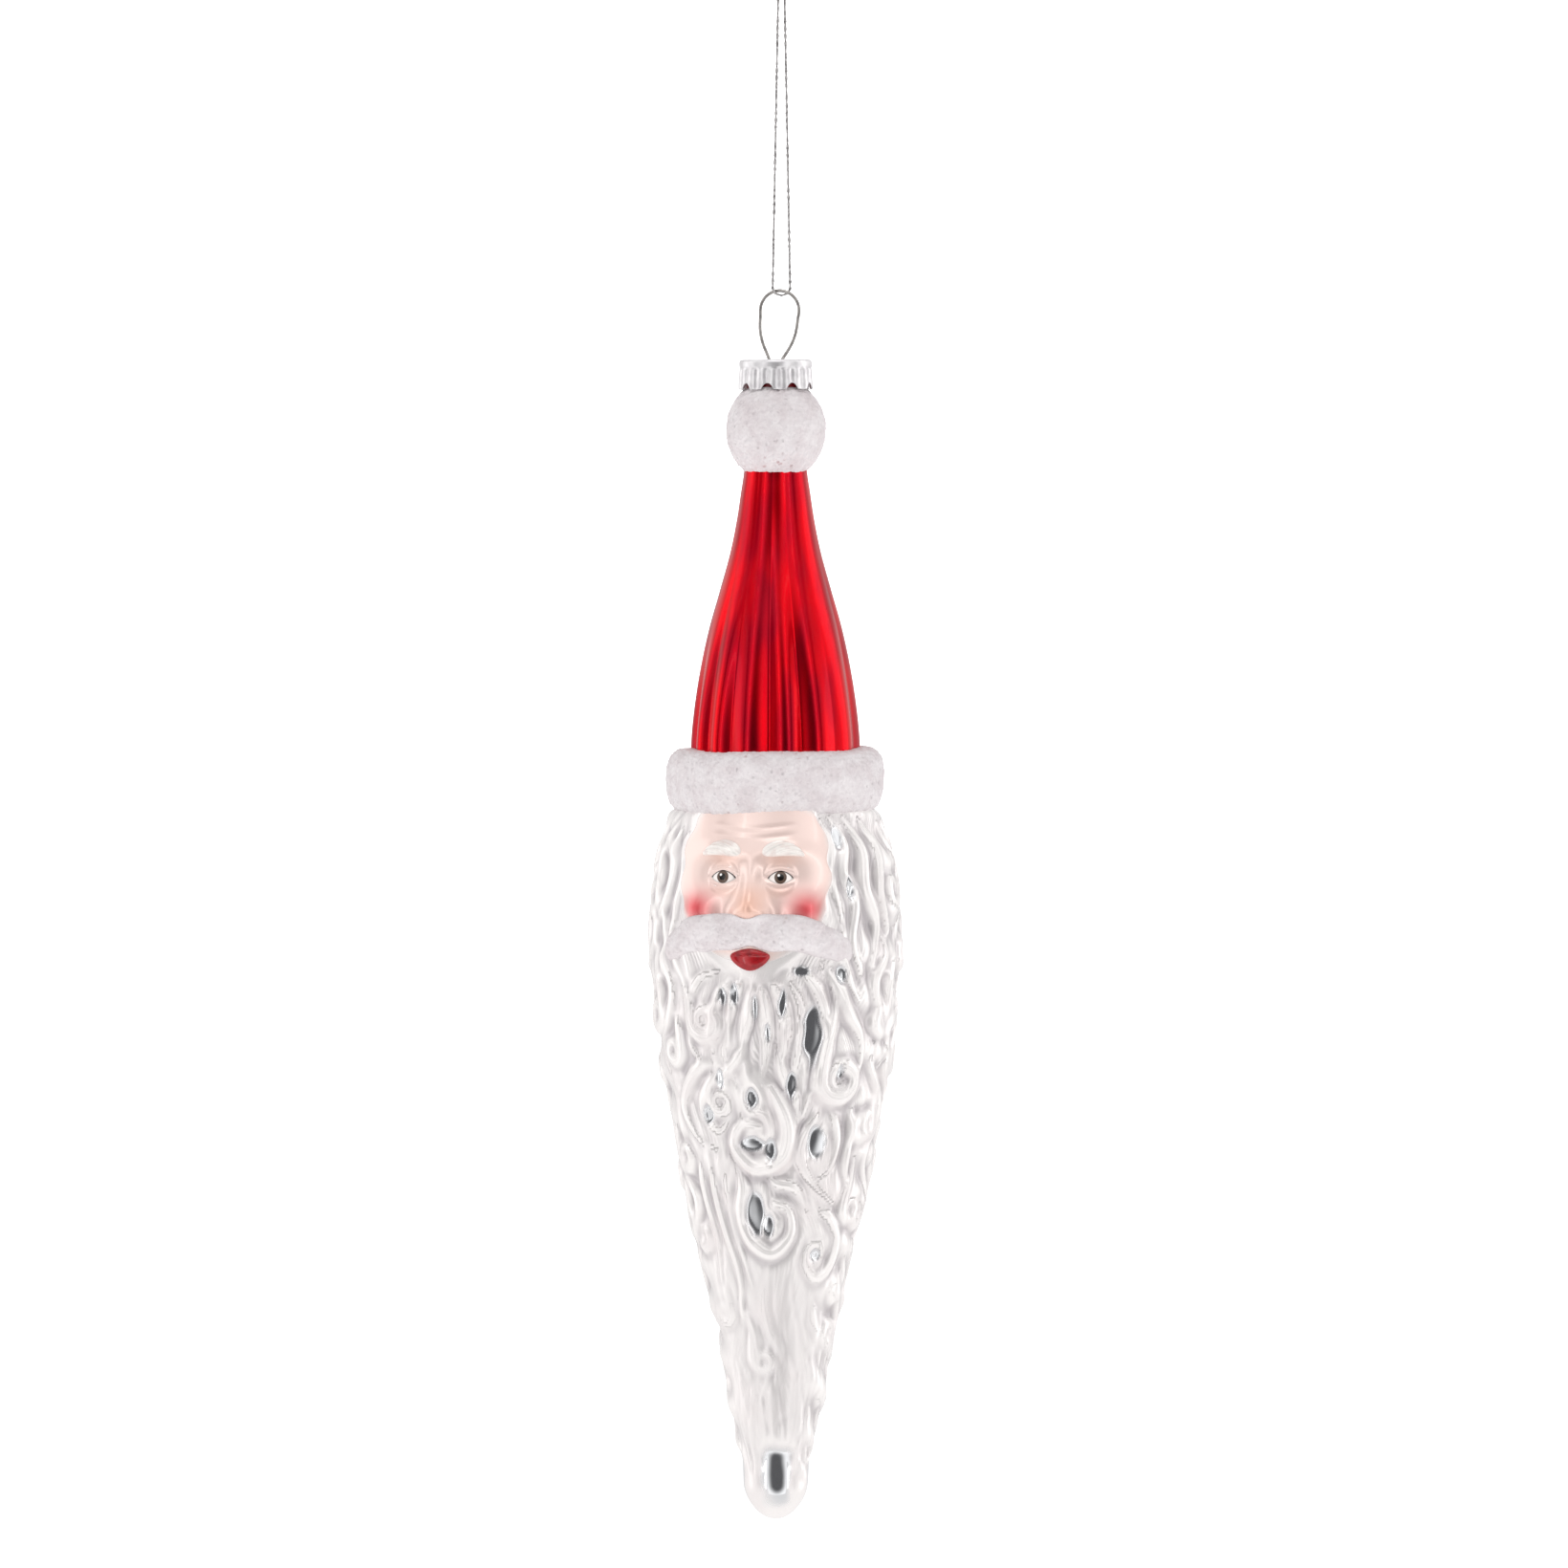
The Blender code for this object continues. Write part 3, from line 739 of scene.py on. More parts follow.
brim, u, v = add_sheet("brim_glitter_coat", 560, 150)
angle = 360 * u - 180
section = 2 * np.pi * v
out = boxy(np.cos(section)) * BRIM_THICK / 2
up = boxy(np.sin(section)) * BRIM_HEIGHT / 2
radius = BRIM_RADIUS - BRIM_THICK / 2 + out
height = BRIM_FOOT + BRIM_HEIGHT / 2 + up
turn = np.radians(angle)
rough = np.stack([radius * np.sin(turn), -radius * np.cos(turn), height], axis=1)
swell = fur(rough, 0.36, 6.5, 0.05, 23)
length = np.hypot(out / BRIM_THICK, up / BRIM_HEIGHT) + 1e-6
radius = radius + swell * out / BRIM_THICK / length
height = height + swell * up / BRIM_HEIGHT / length
oval = 1 - (1 - OVAL) * ease(BRIM_FOOT + BRIM_HEIGHT, BRIM_FOOT, height)
roll(brim, radius, height, angle, oval)
close_up(brim)
print("brim:", len(brim.data.polygons), "faces")

# %% [markdown]
# ## Head and beard: the outline
#
# From the brim down, one blown shape makes the hair, the face and the long beard, and closes in a
# rounded tip. It can be sculpted by hand, but a mould-blown surface is a relief on a round body, so
# it is built that way: an outline gives the body, and every curl, strand and feature is a height
# above it. A point is named by its angle from the face and its drop below the brim.

# %% Outline of the head
RELIEF_ROOM = 0.9  # how far the body stands back, to leave room for the relief
TIP_ROUNDING = 5.6
HEAD_START = -3.0  # the head begins inside the brim
# how far below the brim's foot, and the radius there
HEAD_OUTLINE = [
    (HEAD_START, 15.2), (0.0, 16.2), (2.5, 17.0), (5.5, 17.9), (9.0, 18.6), (13.0, 19.1), (19.0, 19.4),
    (26.0, 19.25), (34.0, 18.6), (46.0, 16.6), (58.0, 14.3), (70.0, 11.75), (82.0, 9.25), (94.0, 7.0),
    (102.0, 5.45), (106.0, 4.8), (112.0, 4.1),
]
SLOPE_STEP = 0.3


def radius_at(drop):
    drop = np.clip(drop, HEAD_START, HEAD_LENGTH)
    body = curve_through(HEAD_OUTLINE, drop)
    room = RELIEF_ROOM * ease(106.0, 97.0, drop)
    into_tip = np.clip((drop - (HEAD_LENGTH - TIP_ROUNDING)) / TIP_ROUNDING, 0.0, 1.0)
    return (body - room) * np.sqrt(1 - into_tip**2)


def on_head(angle, drop, rise):
    """Points of the head in mm, standing rise above its outline."""
    slope = (radius_at(drop + SLOPE_STEP) - radius_at(drop - SLOPE_STEP)) / (2 * SLOPE_STEP)
    level = 1 / np.sqrt(1 + slope**2)
    radius = radius_at(drop) + rise * level
    turn = np.radians(angle)
    across, ahead = AXIS_X + radius * np.sin(turn), -radius * np.cos(turn) * OVAL
    return np.stack([across, ahead, BRIM_FOOT - drop + rise * slope * level], axis=1)


def radius_near(drop):
    """The outline's radius at one drop, as a plain number."""
    return float(radius_at(np.array([drop]))[0])


print("radius at the cheeks", round(radius_near(20.0) + RELIEF_ROOM, 1), "mm")

# %% [markdown]
# ## Head and beard: locks of hair
#
# A lock is a rounded ridge along a smooth line, tapered at both ends, with fine strands along it.
# Many end in a curl. Where locks cross, the higher one shows, as it would on top. The ones beside
# and below the face are placed one by one. Seeded ones of the same kind cover the sides and the
# back.

# %% One lock of hair


LINE_STEP = 0.8  # mm between a lock line's points
ANGLE_TO_MM = 0.25  # a rough measure across, for the spacing only


def smooth_line(corners):
    """A smooth curve through (angle, drop) corners, with many points."""
    corners = np.array(corners, dtype=float)
    before = 2 * corners[0] - corners[1]
    after = 2 * corners[-1] - corners[-2]
    p = np.vstack([before, corners, after])
    points = []
    for i in range(1, len(p) - 2):
        across, down = p[i + 1] - p[i]
        steps = max(int(np.hypot(across * ANGLE_TO_MM, down) / LINE_STEP), 2)
        first = p[i + 1] - p[i - 1]
        second = 2 * p[i - 1] - 5 * p[i] + 4 * p[i + 1] - p[i + 2]
        third = 3 * p[i] - p[i - 1] - 3 * p[i + 1] + p[i + 2]
        for t in np.linspace(0, 1, steps, endpoint=False):
            points.append(0.5 * (2 * p[i] + first * t + second * t**2 + third * t**3))
    return np.array(points + [corners[-1]])


CURL_TIGHTENS = 0.68  # how much of its radius a curl loses on the way in
CURL_STEP = 0.28
LEAD_ROWS = 12


def curl_line(angle, drop, size, side, tail, turns=1.35):
    """A tail that runs into a spiral. side -1 comes down on the left of the curl, and 1 on the right.

    tail is where it starts, in mm across and down from the curl's middle.
    """
    scale = math.degrees(1) / radius_near(drop)
    spiral = []
    for a in np.arange(0.0, turns * 2 * math.pi, CURL_STEP):
        r = size * (1 - CURL_TIGHTENS * a / (turns * 2 * math.pi))
        spiral.append((side * r * math.cos(a), r * math.sin(a)))
    start, end = np.array(tail, dtype=float), np.array(spiral[0])
    reach = 0.5 * np.linalg.norm(start - end)
    first, second = start + [-0.35 * side * reach, reach * 0.8], end - [0.0, reach]
    lead = []
    for t in np.linspace(0, 1, LEAD_ROWS, endpoint=False):
        near_start = (1 - t) ** 3 * start + 3 * t * (1 - t) ** 2 * first
        lead.append(near_start + 3 * t * t * (1 - t) * second + t**3 * end)
    local = np.array(lead + spiral)
    return np.stack([angle + local[:, 0] * scale, drop + local[:, 1]], axis=1)


LOCK_FULLNESS = 1.2
LOCK_RISE = 1.6
LOCK_REACH = 1.9  # in half widths, how far from its line a lock changes the hair
GROOVE, GROOVE_WIDTH = 0.2, 0.3  # the groove at its edge: a share of its rise, and of its half width


class Relief:
    """The hair's height at the points that it is asked about, and what the material needs to know."""

    def __init__(self, angle, drop):
        self.angle, self.drop = angle, drop
        self.radius = radius_at(drop)
        self.height = np.zeros(len(angle))
        self.across = np.zeros(len(angle))
        self.strand = np.zeros(len(angle))

    def lay(self, line, width, rise, blunt=0.35):
        """Lays one lock. width is half its width at the fullest part, in mm."""
        middle = line[:, 0].mean()
        turn = (self.angle - middle + 180) % 360 - 180
        x = np.radians(turn) * self.radius
        line_x = np.radians(line[:, 0] - middle) * radius_at(line[:, 1])
        line_y = line[:, 1]
        width, rise = width * LOCK_FULLNESS, rise * LOCK_RISE
        reach = LOCK_REACH * width
        near = np.nonzero(
            (x > line_x.min() - reach) & (x < line_x.max() + reach)
            & (self.drop > line_y.min() - reach) & (self.drop < line_y.max() + reach)
        )[0]
        if len(near) == 0:
            return
        px, py = x[near][:, None], self.drop[near][:, None]
        step_x, step_y = np.diff(line_x), np.diff(line_y)
        long = step_x**2 + step_y**2 + 1e-9
        t = np.clip(((px - line_x[:-1]) * step_x + (py - line_y[:-1]) * step_y) / long, 0, 1)
        away_x, away_y = px - line_x[:-1] - t * step_x, py - line_y[:-1] - t * step_y
        run = (np.arange(len(step_x)) + t) / len(step_x)
        taper = (blunt + (1 - blunt) * ease(0, 0.3, run)) * (1 - 0.55 * ease(0.45, 1.0, run))
        share = np.hypot(away_x, away_y) / (width * taper)
        best = np.argmin(share, axis=1)
        rows = np.arange(len(near))
        q = share[rows, best]
        run, taper = run[rows, best], taper[rows, best]
        away_x, away_y = away_x[rows, best], away_y[rows, best]
        side = np.sign(step_x[best] * away_y - step_y[best] * away_x)
        dome = np.clip(1 - q**2, 0, 1) ** 1.1
        height = rise * dome * (0.35 + 0.65 * ease(0.0, 0.22, run)) * (0.6 + 0.4 * taper)
        # a lock presses a groove into the hair beside it
        self.height[near] -= GROOVE * rise * np.exp(-(((q - 1.0) / GROOVE_WIDTH) ** 2))
        wins = (q < 1) & (height > self.height[near])
        won = near[wins]
        self.height[won] = height[wins]
        self.across[won] = (side * q * width * taper)[wins]
        # the strands fade out at a lock's edge, on both sides of it
        self.strand[near] *= ease(1.2, 1.75, q)
        self.strand[won] = ease(0.85, 0.35, q)[wins]


print("locks ready")

# %% Where the locks lie
# curls beside and below the face: angle, drop, size, side, where the tail starts, half width, rise
CURLS = [
    (-24, 31.2, 2.9, -1, (-5.6, -9.5), 1.25, 0.8),
    (46.5, 40.0, 3.3, -1, (-2.6, -16.5), 1.55, 1.0),
    (68, 47.5, 2.3, 1, (1.6, -15.0), 1.3, 0.8),
    (-19, 43.6, 2.0, -1, (-1.5, -6.0), 0.85, 0.6),
    (-49, 36.0, 2.1, 1, (2.4, -10.5), 1.2, 0.75),
    (-54, 52.5, 2.2, -1, (-1.5, -9.5), 1.2, 0.8),
    (-50, 65.0, 2.0, -1, (-0.5, -9.0), 1.1, 0.8),
    (-1, 84.0, 1.7, -1, (-2.6, -9.0), 1.0, 0.55),
    (32, 94.5, 1.3, 1, (1.5, -11.0), 0.9, 0.5),
    (-42, 77.0, 1.8, 1, (1.5, -8.5), 1.0, 0.65),
    (70, 60.5, 2.0, -1, (-1.0, -9.0), 1.1, 0.8),
    (74, 73.0, 1.9, 1, (0.5, -9.0), 1.0, 0.7),
    (-60, 23.5, 2.4, -1, (-0.5, -12.0), 1.3, 0.8),
    (74, 31.0, 2.6, 1, (1.0, -12.5), 1.4, 0.9),
]
# the other locks there: (angle, drop) corners, half width, rise
LOCKS = [
    # a broad band that swirls under the chin
    (
        [(2, 38.5), (13, 43), (18.5, 47.6), (15, 52), (-1, 53.6), (-12.5, 50.2), (-7, 46.9), (3, 47.2)],
        1.6, 1.05,
    ),
    ([(-7, 41), (-2, 44.4), (6, 45.2), (9.5, 48.5), (4, 50.6)], 0.85, 0.7),
    # a loop to its left
    ([(-15, 37.0), (-33, 39.0), (-46, 44.5), (-37, 49.5), (-24, 51.0)], 1.15, 0.8),
    ([(-11, 39.5), (-24, 40.5), (-31, 44.5), (-22, 48.2), (-12, 45.5)], 0.95, 0.7),
    # strands that run down from it
    ([(-31, 50), (-30, 58), (-26, 63.5), (-18, 71), (-20, 77)], 1.0, 0.7),
    ([(-20, 51.5), (-20, 58), (-16, 65), (-8, 72)], 0.85, 0.6),
    ([(-41, 50), (-40, 58), (-35, 65), (-37, 72)], 0.9, 0.65),
    # a deep hook
    (
        [
            (-15, 51.5), (-9, 56.5), (-11, 60.6), (-5.5, 65), (9, 67), (22, 64.2), (20.5, 60.2),
            (11, 59.2),
        ],
        1.35, 0.95,
    ),
    ([(5, 54.5), (12, 56.0), (24, 56.8), (33, 60.5)], 0.9, 0.65),
    # a pointed loop
    ([(38, 43.2), (34, 46), (27.5, 49.3), (26.8, 52.4), (33, 55.6), (42, 57.6), (52, 59.5)], 1.0, 0.75),
    ([(39, 43.8), (46.5, 46.6), (49.5, 50.4), (46, 54), (38, 55.6)], 0.85, 0.65),
    ([(56, 43.5), (59, 48), (58, 53), (63, 58)], 1.05, 0.75),
    # a round curl
    (
        [
            (27, 58.2), (40, 60.2), (53, 62), (61, 65.5), (56.5, 69.6), (44, 71), (33.5, 68.4),
            (36, 65.6), (45, 65.4), (48, 67.6),
        ],
        1.2, 0.85,
    ),
    # the soft waves of the lower beard
    ([(-27, 70), (-20, 76), (-9, 80), (-9, 86), (-22, 91)], 1.1, 0.5),
    ([(8, 68), (2, 74), (6, 79), (15, 82), (14, 88)], 1.0, 0.45),
    ([(22, 71), (24, 77), (33, 82), (44, 86), (46, 93), (37, 98)], 1.1, 0.55),
    ([(42, 73), (50, 78), (64, 82), (66, 89)], 1.1, 0.6),
    ([(12, 86), (8, 91), (16, 96), (30, 98.5)], 0.95, 0.45),
    ([(-12, 88), (-6, 93), (-12, 98), (2, 99.5)], 0.9, 0.4),
    ([(-36, 84), (-30, 90), (-42, 95), (-34, 101)], 0.95, 0.5),
    ([(58, 90), (66, 96), (58, 102)], 0.9, 0.45),
    # strands that fan out under the lips
    ([(-1, 24.8), (-3, 30), (-4, 36), (0, 43)], 0.8, 0.65),
    ([(2, 24.8), (5, 30), (7, 35), (4, 41)], 0.75, 0.6),
    ([(-4, 24.6), (-9, 28), (-12, 33), (-9, 39)], 0.8, 0.65),
    ([(5, 24.6), (11, 27.2), (16, 32), (15, 38.5)], 0.8, 0.7),
    ([(-7, 24.0), (-14, 26.5), (-17.5, 29)], 0.6, 0.5),
    ([(-9, 23.4), (-17, 23.6), (-27, 25.0), (-34, 29.5), (-35, 35), (-27, 38.0)], 0.9, 0.65),
    ([(9, 23.8), (17, 24.6), (24, 29), (23, 36), (18, 42)], 0.75, 0.65),
    ([(13, 23.0), (24, 23.4), (33, 27), (37, 32.5), (32, 40), (26, 46)], 0.95, 0.8),
    ([(34, 22.5), (42, 25.5), (49, 30), (57, 33.5), (60, 39)], 1.15, 0.85),
    ([(-12, 31.5), (-14, 36), (-9, 41), (-7, 47)], 0.8, 0.6),
    ([(-3, 24.5), (-8, 27), (-11, 31.5)], 0.8, 0.95),
    ([(1, 25), (0, 29), (-3, 34)], 0.8, 0.95),
    ([(4, 25), (7, 28.5), (9, 33.5)], 0.8, 0.95),
    ([(8, 24.4), (14, 27.5), (19, 33)], 0.85, 1.0),
    ([(-8, 24.2), (-15, 26.8), (-21, 31.5), (-20, 36)], 0.85, 0.95),
    ([(12, 35), (16, 39.5), (22, 43), (24, 47)], 0.8, 0.8),
    ([(-3, 34), (-9, 37.5), (-18, 40), (-26, 41)], 0.8, 0.8),
    # hair beside the face
    ([(37, 0.5), (41.5, 4.5), (39, 9), (42.5, 13.5), (46, 19)], 1.0, 0.85),
    ([(-36, 0.5), (-41, 4.5), (-38.5, 9), (-43, 14), (-45, 19)], 1.0, 0.85),
    ([(47, 15), (44, 20.5), (49, 25), (55, 28)], 0.95, 0.8),
    ([(-47, 15), (-44, 21), (-37, 24.5), (-33, 28)], 0.9, 0.75),
    ([(43, 0.2), (49, 4), (46, 8.5), (52, 13), (50, 19), (56, 24)], 1.25, 0.95),
    ([(52, 0.0), (60, 5), (59, 11), (66, 16.5), (63, 23)], 1.35, 1.0),
    ([(64, 0.2), (72, 6), (71, 12), (78, 18)], 1.35, 1.0),
    ([(-44, 0.2), (-50, 4.5), (-47.5, 9.5), (-53, 14.5), (-51, 20)], 1.15, 0.85),
    ([(-54, 0.0), (-61, 6), (-60, 12), (-67, 18)], 1.3, 0.95),
    ([(-66, 0.0), (-74, 6.5), (-73, 12), (-80, 17)], 1.3, 0.95),
]
BACK_FROM, BACK_TO = 80.0, 295.0  # the seeded locks' share of the way round
BACK_TOP, BACK_FOOT = -2.0, 95.0  # and the drops between which their rows start


def seeded_locks():
    """Curls, each with a wave beside it, in staggered rows over the sides and the back."""
    rng = np.random.default_rng(41)
    found = []
    drop, row = BACK_TOP, 0
    while drop < BACK_FOOT:
        radius = radius_near(drop + 6.0)
        size = np.interp(drop, [0, 40, 75, 95], [2.9, 2.6, 2.0, 1.3])
        soft = float(np.interp(drop, [0, 60, 95], [1.0, 0.9, 0.6]))
        pitch = math.degrees(4.4 * size / radius)
        count = max(int((BACK_TO - BACK_FROM) / pitch), 1)
        for k in range(count + 1):
            step = k + 0.5 * (row % 2) + rng.uniform(-0.14, 0.14)
            angle = BACK_FROM + step * (BACK_TO - BACK_FROM) / count
            if angle > BACK_TO + 2:
                continue
            side = -1 if rng.random() < 0.5 else 1
            fall = size * rng.uniform(4.2, 5.4)
            foot = drop + fall + rng.uniform(-1.5, 1.5)
            start = (side * size * rng.uniform(-0.6, 0.6), -fall)
            across, turns = size * rng.uniform(0.85, 1.1), rng.uniform(1.0, 1.35)
            curl = curl_line(angle, foot, across, side, start, turns)
            found.append((curl, size * rng.uniform(0.46, 0.56), 0.95 * soft))
            # a wave runs down beside the curl and swings under it
            aside = math.degrees(size / radius)
            wave = [(-1.7, -4.6), (-1.0, -3.2), (-2.1, -1.6), (-1.5, 0.2), (-0.4, 1.9), (-0.9, 3.2)]
            corners = [(angle - side * x * aside, foot + y * size) for x, y in wave]
            found.append((smooth_line(corners), size * rng.uniform(0.36, 0.46), 0.8 * soft))
        drop += size * 3.3
        row += 1
    return found


ALL_LOCKS = [(smooth_line(corners), width, rise) for corners, width, rise in LOCKS]
ALL_LOCKS += [
    (curl_line(angle, drop, size, side, tail), width, rise)
    for angle, drop, size, side, tail, width, rise in CURLS
]
ALL_LOCKS += seeded_locks()
print(len(ALL_LOCKS), "locks")

# %% Where the silver lies bare
# The beard is brushed with a thin pearl lacquer over the silver. It misses a few smooth spots and the
# tip, which mirror like chrome. Each has an angle, a drop, a half width and a half height in mm.
BARE_SPOTS = [
    (12, 102.0, 2.3, 4.5), (30, 33.0, 1.5, 4.8), (15, 28.2, 0.7, 2.3), (-8, 26.8, 0.7, 1.9),
    (-14, 27.3, 0.6, 1.5), (24, 23.4, 1.3, 0.8), (44, 24.0, 0.9, 1.5), (46, 3.4, 0.8, 1.9),
    (50, 10.6, 0.8, 2.1), (-18, 40.0, 0.6, 1.7), (2, 29.0, 0.5, 1.9), (8, 32.6, 0.5, 1.6),
    (-1, 42.9, 0.9, 1.8), (20, 40.9, 0.8, 2.2), (-1, 50.0, 2.1, 1.1), (9, 50.9, 0.9, 1.7),
    (46, 39.0, 0.6, 1.2), (36, 49.8, 1.5, 2.5), (-2, 60.6, 1.6, 3.4), (7, 62.6, 0.9, 1.9),
    (43, 67.4, 0.9, 1.0), (-28, 45.5, 0.9, 1.5), (118, 30.0, 1.2, 3.0), (152, 44.0, 1.2, 2.6),
    (196, 27.0, 1.1, 3.2), (228, 50.0, 1.2, 2.4), (180, 66.0, 1.2, 2.6), (262, 36.0, 1.0, 2.6),
    (135, 62.0, 1.1, 2.2), (192, 102.0, 2.0, 3.6), (102, 102.5, 1.6, 3.2), (282, 102.2, 1.6, 3.4),
]
TIP_SPOTS = 95.0  # spots below this drop are the tip's
MAX_TILT = 0.25


def bare_silver(angle, drop, radius):
    """1 where the pearl lacquer misses and 0 elsewhere, and how far the glass stands out there."""
    bare, form = np.zeros(len(angle)), np.zeros(len(angle))
    for spot_angle, spot_drop, wide, tall in BARE_SPOTS:
        x = np.radians((angle - spot_angle + 180) % 360 - 180) * radius
        corner = 4.0 if spot_drop > TIP_SPOTS else 1.8  # boxy at the tip, and pointed between the locks
        down = drop - spot_drop
        edge = (np.abs(x / wide) ** corner + np.abs(down / tall) ** corner) ** (1 / corner)
        edge = edge + 0.12 * soft_noise(int(spot_drop), x * 2.2, drop * 1.6)
        here = ease(1.35, 0.7, edge)
        bare = np.maximum(bare, here)
        # each is a shallow dome, and those in front face forwards
        in_front = abs(spot_angle) < 60 and spot_drop < TIP_SPOTS
        slope = np.clip((spot_angle - 13) / 90, -MAX_TILT, MAX_TILT) if in_front else 0.0
        form += here * (0.03 + slope * x + 0.1 * (1 - np.minimum(edge, 1.0) ** 2))
    return bare, form


# %% Relief of the hair
BASE_STRANDS = 36
SMOOTH_FROM, SMOOTH_TO = 55.0, 75.0  # the drops between which the beard turns smoother


def hair(angle, drop):
    """The hair's height, and the strands' phase and strength, at any points of the head."""
    relief = Relief(angle, drop)
    # loose wavy strands lie under the locks, on broad soft clumps, and fade into the smoother end
    sway = 8.0 * np.sin(drop / 4.2 + 1.3 * np.sin(np.radians(angle * 3))) * ease(0, 12, drop)
    phase = np.radians((angle + sway) * BASE_STRANDS / 2)
    strands = 0.5 + 0.5 * np.cos(2 * phase)
    clumps = soft_noise(3, np.radians(angle) * radius_at(drop) * 0.62, drop * 0.55)
    loose = 0.2 - 0.17 * ease(45.0, SMOOTH_TO, drop)
    scallops = np.cos(drop * 0.84 + 2.0 * np.sin(np.radians(angle * 2)))
    scallops = scallops * ease(40.0, 75.0, np.abs(angle))
    relief.height = 0.4 + loose * strands + 0.3 * clumps + 0.5 * scallops
    relief.across = phase * relief.radius / BASE_STRANDS * 2
    relief.strand = np.full(len(angle), 0.6)
    for line, width, rise in ALL_LOCKS:
        smoother = float(ease(SMOOTH_FROM, SMOOTH_TO, line[:, 1].mean()))
        relief.lay(line, width, rise * (1 - 0.4 * smoother))
    relief.strand = relief.strand * (1 - 0.65 * ease(SMOOTH_FROM, SMOOTH_TO, drop))
    relief.bare, relief.form = bare_silver(angle, drop, relief.radius)
    return relief


# %% [markdown]
# ## Face
#
# The face is a calm old man's of the ordinary proportions that drawing books give: the eyes one
# eye's width apart, the nose's foot a third of the way down from the brows to the chin, and the
# mouth a third of the way from there to the chin. Each feature is a soft swelling or hollow, and
# they add up. The finer pieces, such as the eyes and the lips, are laid on it afterwards.

# %% Features of the face
FACE_ANGLE = 0.0
BROW_DROP = 5.2
EYE_DROP = 9.2
EYE_ASIDE = 4.6
NOSE_FOOT = 15.4
CHEEK_DROP = 14.2
CHEEK_ASIDE = 8.6
LIPS_DROP = 21.9
MOUSTACHE_DROP = 17.8
# what stands out or in on both sides: rise, aside, drop, half width, half height
PAIRS = [
    (0.75, 2.1, 14.7, 1.05, 1.15),  # wing of the nose
    (-0.95, EYE_ASIDE, EYE_DROP, 2.7, 1.75),  # eye socket
    (0.85, EYE_ASIDE, EYE_DROP + 0.05, 1.8, 1.15),  # eyeball
    (-0.35, 2.3, EYE_DROP - 0.5, 1.0, 1.6),  # hollow beside the bridge of the nose
    (1.15, CHEEK_ASIDE, CHEEK_DROP, 3.3, 2.7),  # cheek
    (-0.3, 4.6, 15.2, 1.1, 1.9),  # fold from the nose to the mouth
]
# the lids' edges, and a soft fold above and below them: how far below the eye, rise, half width
LIDS = [(-1.25, 0.3, 0.32), (1.2, 0.2, 0.3), (2.2, 0.16, 0.45), (-2.1, 0.14, 0.4)]
LID_REACH = 2.5
WRINKLES = [1.6, 3.1]


def swelling(x, y, middle_x, middle_y, wide, tall):
    return np.exp(-(((x - middle_x) / wide) ** 2) - ((y - middle_y) / tall) ** 2)


def face_mask(x, y):
    """1 on the face and 0 in the hair."""
    uneven = 0.035 * np.sin(y * 1.1 + 0.6 * np.sign(x)) * ease(6, 10, np.abs(x))
    return ease(1.02, 0.93, np.hypot(x / 13.3, (y - 9.0) / 15.5) + uneven)


def face(x, y):
    """The face's height in mm. x and y are mm across and down from the brim."""
    h = RELIEF_ROOM - 0.1 + np.zeros_like(x)
    nose_line = ease(6.0, 14.2, y) * ease(NOSE_FOOT + 1.2, NOSE_FOOT - 0.9, y)
    bridge = np.exp(-((x / (1.25 + 0.75 * ease(9, 14.5, y))) ** 2))
    h += (0.5 + 1.5 * nose_line) * bridge * ease(5.0, 8.0, y) * ease(17, 15, y)
    h += 0.75 * swelling(x, y, 0, 13.9, 1.9, 1.7)
    brow_line = BROW_DROP + 0.2 + 0.02 * (np.abs(x) - 5) ** 2
    for side in (-1, 1):
        h += 0.6 * swelling(x, y, side * 4.9, brow_line, 4.0, 1.3)
        for rise, aside, down, wide, tall in PAIRS:
            h += rise * swelling(x, y, side * aside, down, wide, tall)
        lid_x = (x - side * EYE_ASIDE) / LID_REACH
        along_lid = ease(1.15, 0.8, np.abs(lid_x))
        for lid_y, lift, thin in LIDS:
            curve = EYE_DROP + lid_y * (1 - 0.6 * lid_x**2)
            h += lift * along_lid * np.exp(-(((y - curve) / thin) ** 2))
    for wrinkle in WRINKLES:
        curve = wrinkle + 0.35 * np.cos(x * 0.35)
        h -= 0.12 * np.exp(-(((y - curve) / 0.35) ** 2)) * ease(7.5, 4.0, np.abs(x))
    return h


def head_rise(angle, drop, relief=None):
    """The head's height above its outline, with hair and face together, in mm."""
    relief = relief or hair(angle, drop)
    turn = (angle - FACE_ANGLE + 180) % 360 - 180
    x = np.radians(turn) * (relief.radius + RELIEF_ROOM)
    on_face = face_mask(x, drop) * (np.abs(turn) < 75)
    fade = ease(-1.5, 0.5, drop) * ease(103.5, 98.0, drop + 1.6 * np.sin(np.radians(angle * 3)))
    rise = relief.height * (1 - on_face) * fade + face(x, drop) * on_face
    return rise, on_face, fade


# %% Roll the head
HEAD_COLUMNS, HEAD_ROWS = 330, 290
FINER_IN_FRONT = 0.22
FINEST_AT = 8.0  # degrees
LID_ROWS = 4  # the sheet's rows that close its top
PROFILE_POINTS = 2000
ROUNDED = 3  # how many times the relief is softened
LEVELLED = 14  # and the level that it stands out from
STANDS_OUT = 0.7  # mm from a groove to a ridge


